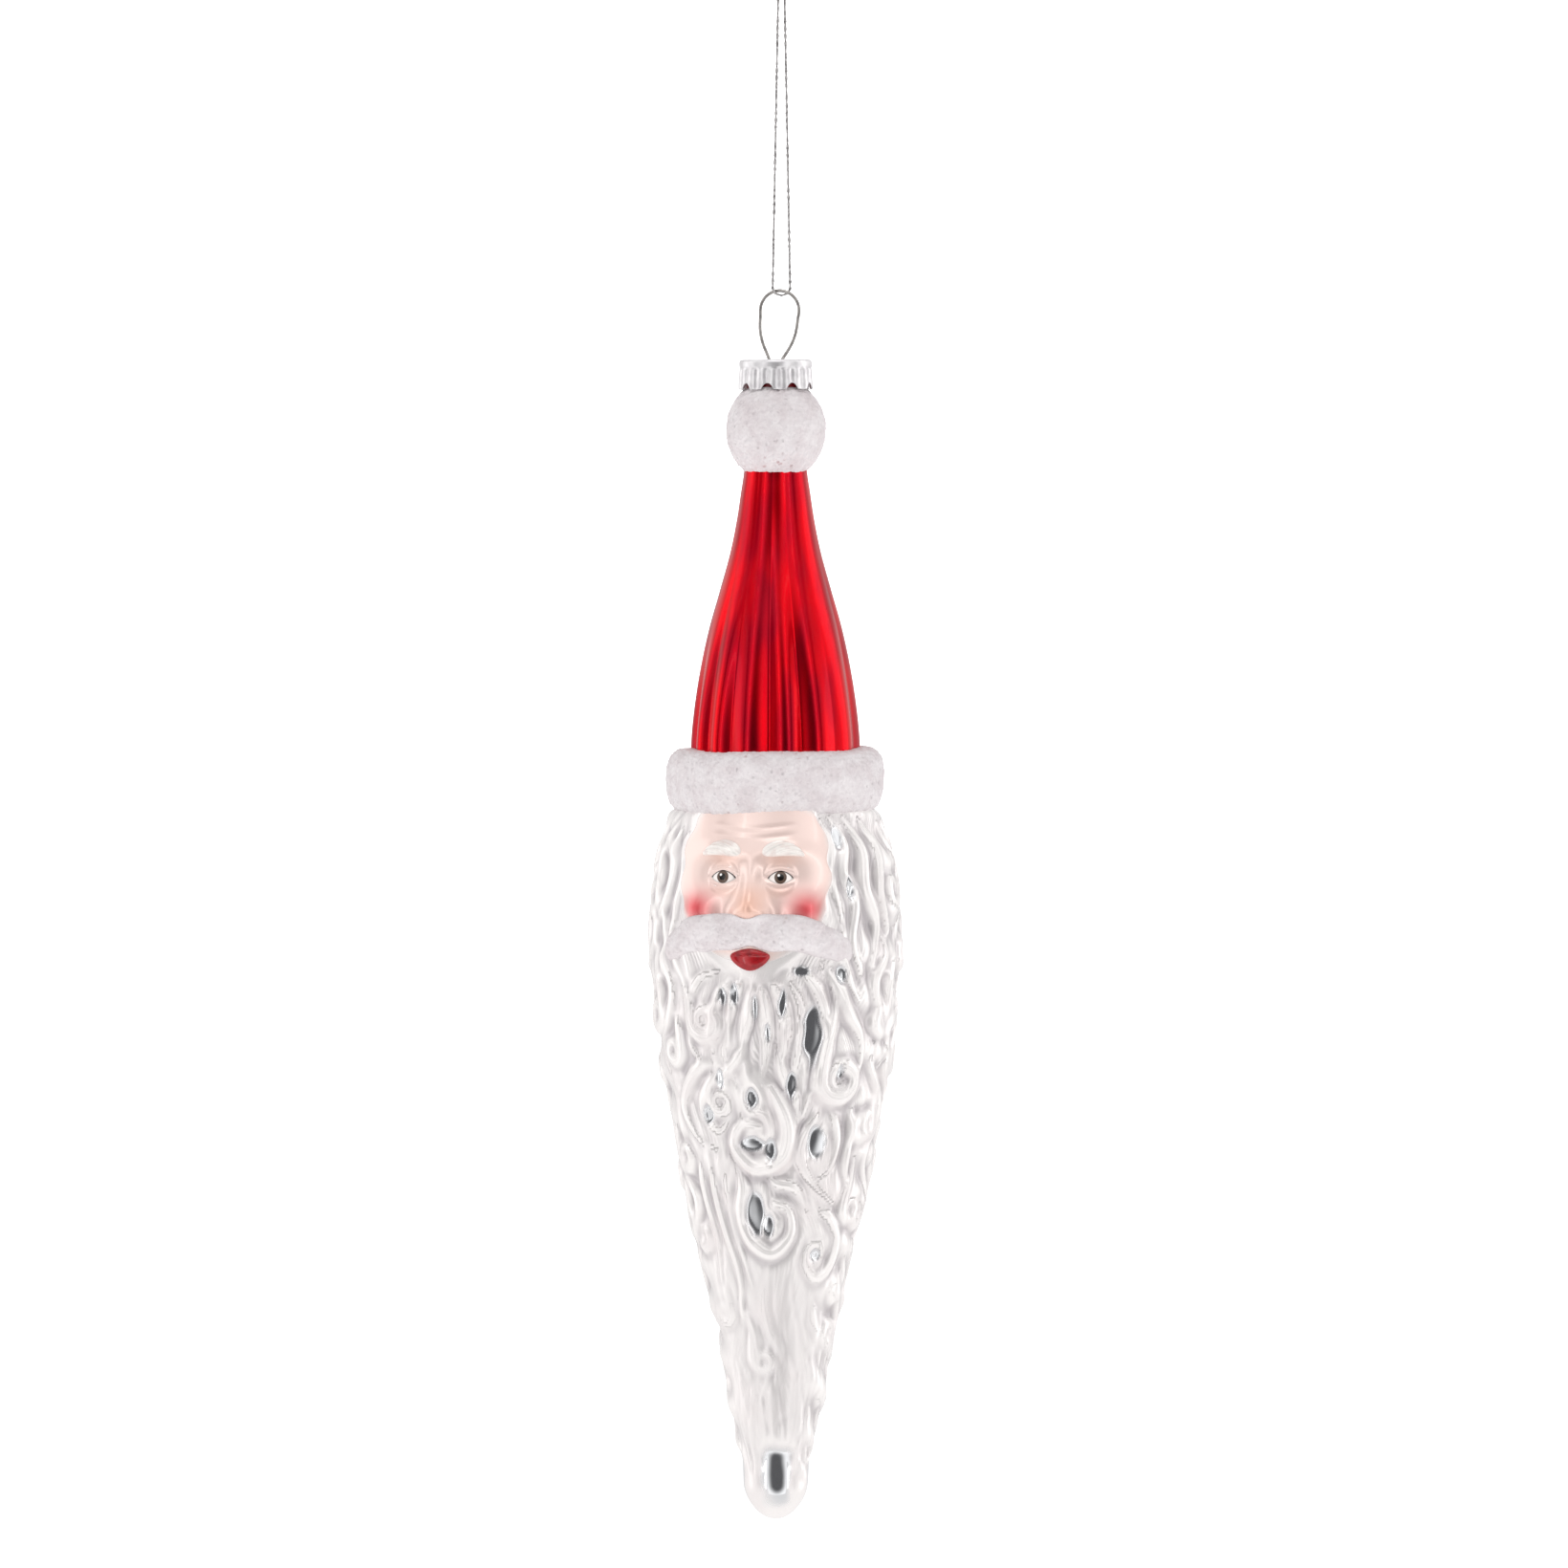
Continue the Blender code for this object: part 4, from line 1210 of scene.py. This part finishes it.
def softened(height, columns):
    """Heights on a sheet, each blended with those beside it, as blown glass rounds off its mould."""
    rows = height.reshape(-1, columns + 1)
    rows = np.pad(rows, ((1, 1), (0, 0)), mode="edge")
    rows = (rows[:-2] + 2 * rows[1:-1] + rows[2:]) / 4
    rows = np.pad(rows[:, :-1], ((0, 0), (1, 1)), mode="wrap")
    rows = (rows[:, :-2] + 2 * rows[:, 1:-1] + rows[:, 2:]) / 4
    return np.concatenate([rows, rows[:, :1]], axis=1).ravel()


# %% Spread the sheet over the head
head, u, v = add_sheet("silvered_glass_head", HEAD_COLUMNS, HEAD_ROWS)
share = 2 * u - 1
angle = 180 * (share - FINER_IN_FRONT * np.sin(np.pi * share) / np.pi) + FINEST_AT
profile_drop = np.concatenate(
    [np.full(LID_ROWS + 1, HEAD_START), np.linspace(HEAD_START, HEAD_LENGTH, PROFILE_POINTS)[1:]]
)
profile_radius = radius_at(profile_drop)
profile_radius[: LID_ROWS + 1] = np.linspace(0, profile_radius[LID_ROWS + 1], LID_ROWS + 1)
run = np.concatenate([[0], np.cumsum(np.hypot(np.diff(profile_drop), np.diff(profile_radius)))])
top_share = LID_ROWS / HEAD_ROWS
lid_run = run[LID_ROWS]
below_lid = lid_run + (v - top_share) / (1 - top_share) * (run[-1] - lid_run)
along = np.where(v < top_share, v / top_share * lid_run, below_lid)
drop = np.interp(along, run, profile_drop)
lid = np.interp(along, run[: LID_ROWS + 1], np.linspace(0, 1, LID_ROWS + 1))
print("the sheet's columns run", round(float(run[-1]), 1), "mm down the head")

# %% Lay the relief on it
relief = hair(angle, drop)
for _ in range(ROUNDED):
    relief.height = softened(relief.height, HEAD_COLUMNS)
relief.height = relief.height * (1 - 0.9 * relief.bare) + relief.form
around = relief.height
for _ in range(LEVELLED):
    around = softened(around, HEAD_COLUMNS)
stands_out = np.clip(0.5 + (relief.height - around) / STANDS_OUT, 0, 1)  # 1 on a ridge, 0 in a groove
rise, on_face, fade = head_rise(angle, drop, relief)
points = on_head(angle, drop, rise)
points[:, 0] = AXIS_X + (points[:, 0] - AXIS_X) * lid
points[:, 1] *= lid
set_points(head, points)
# the strands also fade out where the sheet's sides meet
joined = ease(0.0, 0.012, np.minimum(u, 1 - u))
in_hair = (1 - on_face) * fade
store(head, "across", relief.across)
store(head, "strand", relief.strand * in_hair * (1 - relief.bare) * joined)
# high marks the ridges, and from it the material paints the grooves a darker grey for their shade
store(head, "high", stands_out * in_hair + 0.6 * (1 - in_hair))
store(head, "bare", relief.bare**2 * (1 - on_face))
close_up(head)
print("head:", len(head.data.polygons), "faces")

# %% [markdown]
# ## Face: the pieces laid on it
#
# The flesh colour, the lips, the eyes, the brows and the moustache are each a thin layer on the
# glass. A square of cells is drawn out to each one's outline and laid on the head, full in the
# middle and sunk into the glass along its edge, as a brushed or glued layer is. Solidify makes each
# a closed solid.

# %% A layer on the face


def disc(u, v):
    """A square's u and v spread over a disc: across, down, and the distance from the middle."""
    s, t = 2 * u - 1, 2 * v - 1
    x, y = s * np.sqrt(1 - t * t / 2), t * np.sqrt(1 - s * s / 2)
    return x, y, np.hypot(x, y)


def lay_on_face(obj, x, y, thick):
    """Sets a sheet's points on the head, thick above its surface."""
    layer_angle = FACE_ANGLE + np.degrees(x / (radius_at(y) + RELIEF_ROOM))
    rise, _, _ = head_rise(layer_angle, y, Relief(layer_angle, y))
    set_points(obj, on_head(layer_angle, y, rise + thick))


def finish_layer(obj, depth):
    """Gives a layer its closed underside, and smooth shading."""
    pick(obj)
    bpy.ops.object.mode_set(mode="EDIT")
    bpy.ops.mesh.select_all(action="SELECT")
    bpy.ops.mesh.flip_normals()
    bpy.ops.object.mode_set(mode="OBJECT")
    if np.array([face.normal.y for face in obj.data.polygons]).mean() > 0:
        obj.data.flip_normals()
    thicken(obj, depth)
    bpy.ops.object.shade_smooth()


# %% Flesh enamel
flesh, u, v = add_sheet("face_flesh_enamel", 200, 160)
s, t, reach = disc(u, v)
FLESH_WIDE, FLESH_TALL, FLESH_MIDDLE = 13.6, 13.9, 8.9  # its half width and half height, and its drop
x, y = s * FLESH_WIDE, FLESH_MIDDLE + t * FLESH_TALL
y = np.maximum(y, -1.2 + 0.05 * y)  # its top is flattened inside the brim
lay_on_face(flesh, x, y, 0.05 - 0.16 * ease(0.93, 1.0, reach))
edge = ease(1.0, 0.86, reach + 0.04 * soft_noise(31, x * 0.9, y * 0.9))
store(flesh, "flesh", edge)
blush = sum(swelling(x, y, side * CHEEK_ASIDE, CHEEK_DROP - 0.2, 2.9, 2.5) for side in (-1, 1))
warm = 0.9 * swelling(x, y, 0, 13.4, 2.6, 2.8) + sum(
    0.5 * swelling(x, y, side * EYE_ASIDE, EYE_DROP - 2.6, 3.0, 1.2)
    + 0.35 * swelling(x, y, side * EYE_ASIDE, EYE_DROP + 2.2, 2.6, 0.9)
    for side in (-1, 1)
)
store(flesh, "blush", blush)
store(flesh, "warm", np.clip(warm, 0, 1))
finish_layer(flesh, 0.1)
print("flesh enamel:", len(flesh.data.polygons), "faces")

# %% Eyes
EYE_WIDTH, EYE_TALL = 4.3, 2.1
# the eye's glint is a painted highlight: a white dot in its colour
GLINT_ASIDE = 0.28  # how far up and aside of the pupil the eye shines
eyes = []
for name, side in (("eye_right_enamel", -1), ("eye_left_enamel", 1)):
    eye, u, v = add_sheet(name, 72, 44)
    s, t, reach = disc(u, v)
    x = side * EYE_ASIDE + s * EYE_WIDTH / 2
    y = EYE_DROP + t * EYE_TALL / 2 * (1 - 0.5 * s * s) + 0.12 * s * s
    lay_on_face(eye, x, y, 0.08 + 0.16 * (1 - reach**2) - 0.22 * ease(0.94, 1.0, reach))
    from_x, from_y = x - side * EYE_ASIDE, y - EYE_DROP
    store(eye, "iris", np.hypot(from_x, from_y - 0.02))
    store(eye, "lash", ease(0.72, 0.88, reach) * (0.35 + 0.65 * ease(0.25, -0.1, t)))
    store(eye, "painted_glint", np.hypot(from_x + GLINT_ASIDE, from_y + GLINT_ASIDE))
    finish_layer(eye, 0.1)
    eyes.append(eye)
print("eyes:", [len(eye.data.polygons) for eye in eyes])

# %% Brows
BROW_MIDDLE, BROW_WIDE, BROW_TALL = 4.9, 3.4, 1.2  # how far aside, and its half width and half height
brows = []
for name, side in (("brow_right_pearl", -1), ("brow_left_pearl", 1)):
    brow, u, v = add_sheet(name, 110, 36)
    s, t, reach = disc(u, v)
    out = BROW_MIDDLE + s * BROW_WIDE
    tall = BROW_TALL * (1 - 0.35 * s)
    y = BROW_DROP - 0.25 + 0.075 * (out - 4.4) ** 2 + t * tall
    hairs = 0.12 * np.cos((t * 2.2 + s * 1.8) * 5.2)
    thick = 0.1 + (0.5 + hairs) * (1 - reach**2) ** 0.7 - 0.22 * ease(0.9, 1.0, reach)
    lay_on_face(brow, side * out, y, thick)
    finish_layer(brow, 0.12)
    brows.append(brow)
print("brows:", [len(brow.data.polygons) for brow in brows])

# %% Lips
LIPS_WIDE, LIPS_TALL, LIPS_FULL = 3.2, 1.75, 0.85  # half width, half height, rise
lips, u, v = add_sheet("lips_red_enamel", 90, 60)
s, t, reach = disc(u, v)
x = s * LIPS_WIDE
y = LIPS_DROP - 0.3 + t * LIPS_TALL * (1 - 0.3 * np.abs(s) ** 1.5) - 0.5 * s * s
parting = np.exp(-(((t + 0.38 + 0.12 * np.cos(s * 3.0)) / 0.1) ** 2))
thick = 0.1 + LIPS_FULL * (1 - reach**2) ** 0.6 - 0.35 * parting * (1 - reach**2)
lay_on_face(lips, x, y, thick - 0.25 * ease(0.93, 1.0, reach))
finish_layer(lips, 0.15)
print("lips:", len(lips.data.polygons), "faces")

# %% Moustache
MOUSTACHE_WIDE, MOUSTACHE_TALL, MOUSTACHE_FULL = 17.3, 2.85, 1.75  # half width, half height, rise
MOUSTACHE_ENDS = 0.985  # just under 1, so the ends stay open enough to close cleanly
moustache, u, v = add_sheet("moustache_glitter_coat", 300, 64)
s, t = 2 * u - 1, 2 * v - 1
end = np.sqrt(1 - (MOUSTACHE_ENDS * s) ** 8)
x = s * MOUSTACHE_WIDE
half = MOUSTACHE_TALL * (1 - 0.2 * np.exp(-((x / 1.6) ** 2))) * end
y = MOUSTACHE_DROP - 0.35 + 0.0098 * x * x + 0.35 * np.cos(x * 0.42) * ease(2, 6, np.abs(x)) + t * half
y = y + 0.2 * soft_noise(51, x * 1.3, t) * t * t * end
dome = (1 - np.abs(t) ** 2.4) ** 0.6 * end
parted = 1 - 0.3 * np.exp(-((x / 0.9) ** 2))
flat_points = np.stack([x, y, 0 * x], axis=1)
sunk = ease(0.88, 1.0, np.maximum(np.abs(t), np.abs(s)))
thick = MOUSTACHE_FULL * dome * parted + fur(flat_points, 0.16, 4.2, 0.05, 61) * dome - 0.3 * sunk
lay_on_face(moustache, x, y, thick)
finish_layer(moustache, 0.2)
print("moustache:", len(moustache.data.polygons), "faces")

# %% [markdown]
# ## Finishes: silvered glass and its pearl lacquer
#
# The glass is silvered inside like a mirror, so outside it shows bright metal under a clear coat. A
# brushed pearl lacquer softens most of the beard, and where it misses, the mirror is sharp. The
# strands are too fine for the mesh, so a bump follows the distance across each lock, at a real
# spacing of about half a millimetre.

# %% Silvered glass with pearl lacquer
STRAND_PITCH = 0.62  # mm
STRAND_DEPTH = 0.028


silver, tree, shader = new_material(
    "silvered_glass_with_pearl_lacquer", Coat_Weight=0.7, Coat_Roughness=0.04
)
high, bare_part = read(tree, "high"), read(tree, "bare")
# painted shade: the grooves between the locks are a darker grey, for the shade in them and the thicker
# pearl lacquer there
pearl = blend_colours(tree, ramp(tree, high, 0.05, 0.75), "C3BDBF", "FEFAF8")
pearl = blend_colours(tree, ramp(tree, noise(tree, 7.0), 0.45, 0.75), pearl, "F3EDEC")
tree.links.new(blend_colours(tree, bare_part, pearl, "EDEEF0"), shader.inputs["Base Color"])
tree.links.new(between(tree, bare_part, 0.36, 0.06), shader.inputs["Roughness"])
tree.links.new(between(tree, bare_part, 0.52, 1.0), shader.inputs["Metallic"])
wave = add_node(
    tree, "ShaderNodeMath", {"operation": "MULTIPLY"}, {1: 2 * math.pi / STRAND_PITCH},
    {0: read(tree, "across")},
)
ridge = add_node(tree, "ShaderNodeMath", {"operation": "SINE"}, None, {0: wave.outputs[0]})
shown = add_node(
    tree, "ShaderNodeMath", {"operation": "MULTIPLY"}, None,
    {0: ridge.outputs[0], 1: read(tree, "strand")},
)
bump(tree, shader, shown.outputs[0], STRAND_DEPTH)
dress(head, silver)
print(silver.name)

# %% Flesh enamel
skin, tree, shader = new_material(
    "flesh_enamel_on_silver", Metallic=0.3, Roughness=0.25, Coat_Weight=0.7, Coat_Roughness=0.05
)
colour = blend_colours(tree, read(tree, "warm"), "F5DCD4", "EDBBA6")
colour = blend_colours(tree, read(tree, "blush"), colour, "E0565C")
tree.links.new(blend_colours(tree, read(tree, "flesh"), "EDE8E6", colour), shader.inputs["Base Color"])
dress(flesh, skin)

# %% Eyes, brows and lips
eye_paint, tree, shader = new_material("painted_eye_enamel", Roughness=0.18, IOR=1.5)
iris = read(tree, "iris")
colour = blend_colours(tree, ramp(tree, iris, 1.02, 0.9), "F3ECE8", "5B4A40")
colour = blend_colours(tree, ramp(tree, iris, 0.56, 0.46), colour, "120F0E")
colour = blend_colours(tree, read(tree, "lash"), colour, "2A1D1A")
# painted highlight: a white dot beside the pupil
colour = blend_colours(tree, ramp(tree, read(tree, "painted_glint"), 0.24, 0.14), colour, "FFFFFF")
tree.links.new(colour, shader.inputs["Base Color"])
for eye in eyes:
    dress(eye, eye_paint)

brow_paint, tree, shader = new_material("pearl_enamel", Metallic=0.25, Roughness=0.3, Coat_Weight=0.4)
mottle(tree, shader, 1.5, 0.4, 0.65, "F4EFEA", "E9DED9")
for brow in brows:
    dress(brow, brow_paint)

lip_paint, tree, shader = new_material(
    "red_enamel", Metallic=0.1, Roughness=0.16, Coat_Weight=0.5, IOR=1.5
)
mottle(tree, shader, 1.2, 0.35, 0.7, "A80C18", "860811")
dress(lips, lip_paint)
print("face finishes ready")

# %% [markdown]
# ## Finishes: red lacquer over silver
#
# A clear red lacquer over the silvering gives a red metal: the reflections themselves are red, and
# only the lacquer's own skin reflects white. So it is a red metallic shader under a clear coat.
# Where the brushed lacquer is thicker it is darker, in long soft streaks.

# %% Red lacquer
STREAK_WIDTH, STREAK_SQUASH = 3.4, 0.12  # mm, and a streak's width as a share of its length
lacquer, tree, shader = new_material(
    "red_lacquer_on_silver", Metallic=1.0, Roughness=0.27, Coat_Weight=0.14, Coat_Roughness=0.03,
    Coat_IOR=1.5,
)
stretch = add_node(
    tree, "ShaderNodeMapping", None, {"Scale": (1.0, 1.0, STREAK_SQUASH)}, {"Vector": place(tree)}
)
streaks = noise(tree, STREAK_WIDTH, vector=stretch.outputs[0])
colour = blend_colours(tree, ramp(tree, streaks, 0.35, 0.7), "EA0216", "B80321")
tree.links.new(colour, shader.inputs["Base Color"])
dress(hat, lacquer)

# painted shade: the neck lies in the shade under the cap, so its red is painted dark, and it mirrors
# less
neck_shade_lacquer, tree, shader = new_material("red_lacquer_painted_dark_for_shade", Metallic=0.4, Roughness=0.3, Coat_Weight=0.2)
mottle(tree, shader, 2.0, 0.35, 0.7, "7C0A14", "5A060F")
dress(neck, neck_shade_lacquer)
print(lacquer.name, "and", neck_shade_lacquer.name)

# %% [markdown]
# ## Finishes: white glitter
#
# The fur is white glue full of grains. Most are matt and faintly pink from the glass behind, and
# some are tiny mirrors that lie every way. A Voronoi pattern splits the surface into grains, and
# each has a colour of its own: it tilts the grain, and picks the few that shine. Real grains of 0.2
# mm are too fine to show, so these are 0.4 mm.

# %% Glitter
GRAIN = 0.4
SHINY_FROM = 0.965  # 1 grain in 30 lies so that it shines
TILT = 0.45  # how far a grain's normal tips


def glitter_material(name, light, shade):
    mat, tree, shader = new_material(name, Roughness=0.6, IOR=1.5)
    grains = add_node(
        tree, "ShaderNodeTexVoronoi", None, {"Scale": 1 / (GRAIN * MM)}, {"Vector": place(tree)}
    )
    parts = add_node(tree, "ShaderNodeSeparateColor", None, None, {"Color": grains.outputs["Color"]})
    colour = blend_colours(tree, parts.outputs["Red"], light, shade)
    soft = blend_colours(tree, ramp(tree, noise(tree, 3.0), 0.35, 0.7), "FFFFFF", "EDE7E8")
    tint = add_node(
        tree, "ShaderNodeMix", {"data_type": "RGBA", "blend_type": "MULTIPLY"}, {0: 0.6},
        {6: colour, 7: soft},
    )
    tree.links.new(tint.outputs[2], shader.inputs["Base Color"])
    shine = ramp(tree, parts.outputs["Green"], SHINY_FROM, SHINY_FROM + 0.01)
    tree.links.new(between(tree, shine, 0.0, 0.5), shader.inputs["Metallic"])
    tree.links.new(between(tree, shine, 0.65, 0.45), shader.inputs["Roughness"])
    # each grain's colour, from -0.5 to 0.5 on each axis, tips its normal
    normal = add_node(tree, "ShaderNodeNewGeometry").outputs["Normal"]
    tipped = grains.outputs["Color"]
    for operation, values, links in (
        ("SUBTRACT", {1: (0.5, 0.5, 0.5)}, {}), ("SCALE", {"Scale": TILT}, {}), ("ADD", {}, {1: normal}),
        ("NORMALIZE", {}, {}),
    ):
        step = add_node(
            tree, "ShaderNodeVectorMath", {"operation": operation}, values, {0: tipped, **links}
        )
        tipped = step.outputs[0]
    tree.links.new(tipped, shader.inputs["Normal"])
    return mat


white_glitter = glitter_material("white_glitter_on_glue", "E1DCDD", "D7D1D3")
for piece in (pompom, brim, moustache):
    dress(piece, white_glitter)
print(white_glitter.name)

# %% [markdown]
# ## Finishes: metals and thread
#
# The cap is bright plated sheet. The wire is drawn spring steel, greyer. The thread is white yarn
# wrapped in narrow metal tinsel, so it is bright in some places and grey in others along each ply.

# %% Cap, wire and thread
plate, tree, shader = new_material("bright_plated_sheet", Metallic=0.85, Roughness=0.38)
mottle(tree, shader, 1.3, 0.35, 0.7, "F6F4F5", "E2DFE1")
bump(tree, shader, noise(tree, 0.9), 0.02)
dress(cap, plate)

steel, tree, shader = new_material("drawn_spring_steel", Metallic=1.0, Roughness=0.28)
mottle(tree, shader, 0.8, 0.4, 0.6, "BEBAB6", "A09C99")
dress(wire, steel)

tinsel, tree, shader = new_material("tinsel_thread", Metallic=0.35, Roughness=0.45)
mottle(tree, shader, 0.35, 0.38, 0.62, "B6B3B2", "7A7777")
for piece in (thread, knot):
    dress(piece, tinsel)
print("metals ready")

# %% [markdown]
# ## Studio
#
# Mirrors show the room, so the room matters more than the lights. The ornament hangs in a white
# tent whose front is open to the dark studio: the tent makes the glass white, and the opening makes
# the dark shapes in the bare silver and in the hat's flutes. The opening is a dark card that fades
# out towards its edge, and a narrow card at each side, a flag, draws a dark line down the shiny
# parts. Only reflections see the three cards.

# %% White tent
world = bpy.data.worlds.new("white_tent")
bpy.context.scene.world = world
world.use_nodes = True
background = world.node_tree.nodes["Background"]
background.inputs["Color"].default_value = (1.0, 0.992, 0.992, 1.0)
background.inputs["Strength"].default_value = 0.8
bpy.context.scene.view_settings.view_transform = "Standard"


def glowing(name, strength):
    mat, tree, shader = new_material(
        name, Base_Color=(0.95, 0.95, 0.95, 1.0), Roughness=0.9,
        Emission_Color=(1.0, 1.0, 1.0, 1.0), Emission_Strength=strength,
    )
    mat.cycles.emission_sampling = "NONE"
    return mat


TENT_RADIUS, FLOOR_SIZE = 4.0, 5.0  # m
FLOOR_BELOW = 160.0  # mm under the tip
start_clean()
bpy.ops.mesh.primitive_ico_sphere_add(subdivisions=4, radius=TENT_RADIUS)
tent = named("tent_wall")
tent.data.materials.append(glowing("lit_cloth", 1.2))
for ray in ("diffuse", "glossy", "transmission", "shadow"):
    setattr(tent, "visible_" + ray, False)

start_clean()
bpy.ops.mesh.primitive_plane_add(size=FLOOR_SIZE, location=(0.0, 0.0, (TIP - FLOOR_BELOW) * MM))
floor = named("pale_floor")
rest_at_origin()
floor.data.materials.append(glowing("white_paper", 0.5))
floor.visible_glossy = False

# %% Dark opening and flags
CARDS_AWAY = 1.5  # m
FADE_FROM, FADE_TO = 0.22, 0.56  # shares of a card's width, from its middle
dark, tree, shader = new_material(
    "dark_cloth", Base_Color=(0.1, 0.1, 0.105, 1.0), Roughness=1.0, Emission_Color=(1.0, 1.0, 1.0, 1.0)
)
card_uv = add_node(tree, "ShaderNodeTexCoord").outputs["UV"]
from_middle = add_node(
    tree, "ShaderNodeVectorMath", {"operation": "DISTANCE"}, {1: (0.5, 0.5, 0.0)}, {0: card_uv}
).outputs["Value"]
tree.links.new(ramp(tree, from_middle, FADE_FROM, FADE_TO), shader.inputs["Emission Strength"])
dark.cycles.emission_sampling = "NONE"


def add_card(name, out, height, wide, tall):
    """A dark card that only reflections see, out from the ornament, at a height in mm."""
    start_clean()
    bpy.ops.mesh.primitive_plane_add(size=1.0)
    card = named(name)
    card.dimensions = (wide, tall, 0.0)
    rest_at_origin()
    facing = out.to_track_quat("Z", "Y").to_matrix().to_4x4()
    card.data.transform(Matrix.Translation(out * CARDS_AWAY + Vector((0, 0, height * MM))) @ facing)
    card.data.materials.append(dark)
    card.visible_camera = card.visible_diffuse = card.visible_shadow = False
    return card


def level_direction(azimuth):
    turn = math.radians(azimuth)
    return Vector((math.sin(turn), -math.cos(turn), 0.0))


opening = add_card("dark_opening", look_direction(), TIP - 100, 1.9, 2.5)
flags = [
    add_card(name, level_direction(azimuth), TIP + 110, 0.5, 2.2)
    for name, azimuth in (("left_flag", -48.0), ("right_flag", 76.0))
]
print("tent, opening and", len(flags), "flags ready")

# %% Softboxes
# name, azimuth, height above the tip in mm, distance, width and height in m, watts
SOFTBOXES = [
    ("left_softbox", -84, 180, 0.75, 0.32, 0.9, 0.55),
    ("right_softbox", 112, 180, 0.75, 0.32, 0.9, 0.8),
    ("left_strip", -24, 130, 0.75, 0.05, 0.8, 0.24),
    ("right_strip", 50, 130, 0.75, 0.05, 0.8, 0.24),
    ("top_softbox", 13, 900, 0.35, 0.5, 0.5, 0.9),
]


def add_softbox(name, azimuth, height, away, wide, tall, watts):
    data = bpy.data.lights.new(name, "AREA")
    data.shape = "RECTANGLE"
    data.size, data.size_y = wide, tall
    data.energy = watts
    light = bpy.data.objects.new(name, data)
    bpy.context.scene.collection.objects.link(light)
    light.location = level_direction(azimuth) * away + Vector((0.0, 0.0, (TIP + height) * MM))
    middle = Vector((0.0, 0.0, (TIP + 110) * MM))
    light.rotation_euler = (light.location - middle).to_track_quat("Z", "Y").to_euler()


for softbox in SOFTBOXES:
    add_softbox(*softbox)
print(len(SOFTBOXES), "softboxes ready")

# %% [markdown]
# ## What moves with what
#
# Each finished piece takes the place of its plain solid in the mechanical model and rides on that
# solid's body.

# %% Ride and finish
PLACES = [
    (cap, "cap", ["cap"]),
    (wire, "wire", ["wire_loop"]),
    (thread, "thread", ["hanging_thread"]),
    (knot, "knot", ["thread_knot"]),
    (head, "glass", ["glass_body"]),
    (neck, "glass", []),
    (hat, "glass", ["hat_lacquer"]),
    (pompom, "glass", ["pompom_glitter"]),
    (brim, "glass", ["brim_glitter"]),
    (flesh, "glass", ["face_enamel"]),
    (moustache, "glass", ["moustache_glitter"]),
    (lips, "glass", ["lips_enamel"]),
    (eyes[0], "glass", ["eye_right"]),
    (eyes[1], "glass", ["eye_left"]),
    (brows[0], "glass", ["brow_right"]),
    (brows[1], "glass", ["brow_left"]),
]
for piece, body, nodes in PLACES:
    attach(piece, body)
    if nodes:
        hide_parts(*nodes)
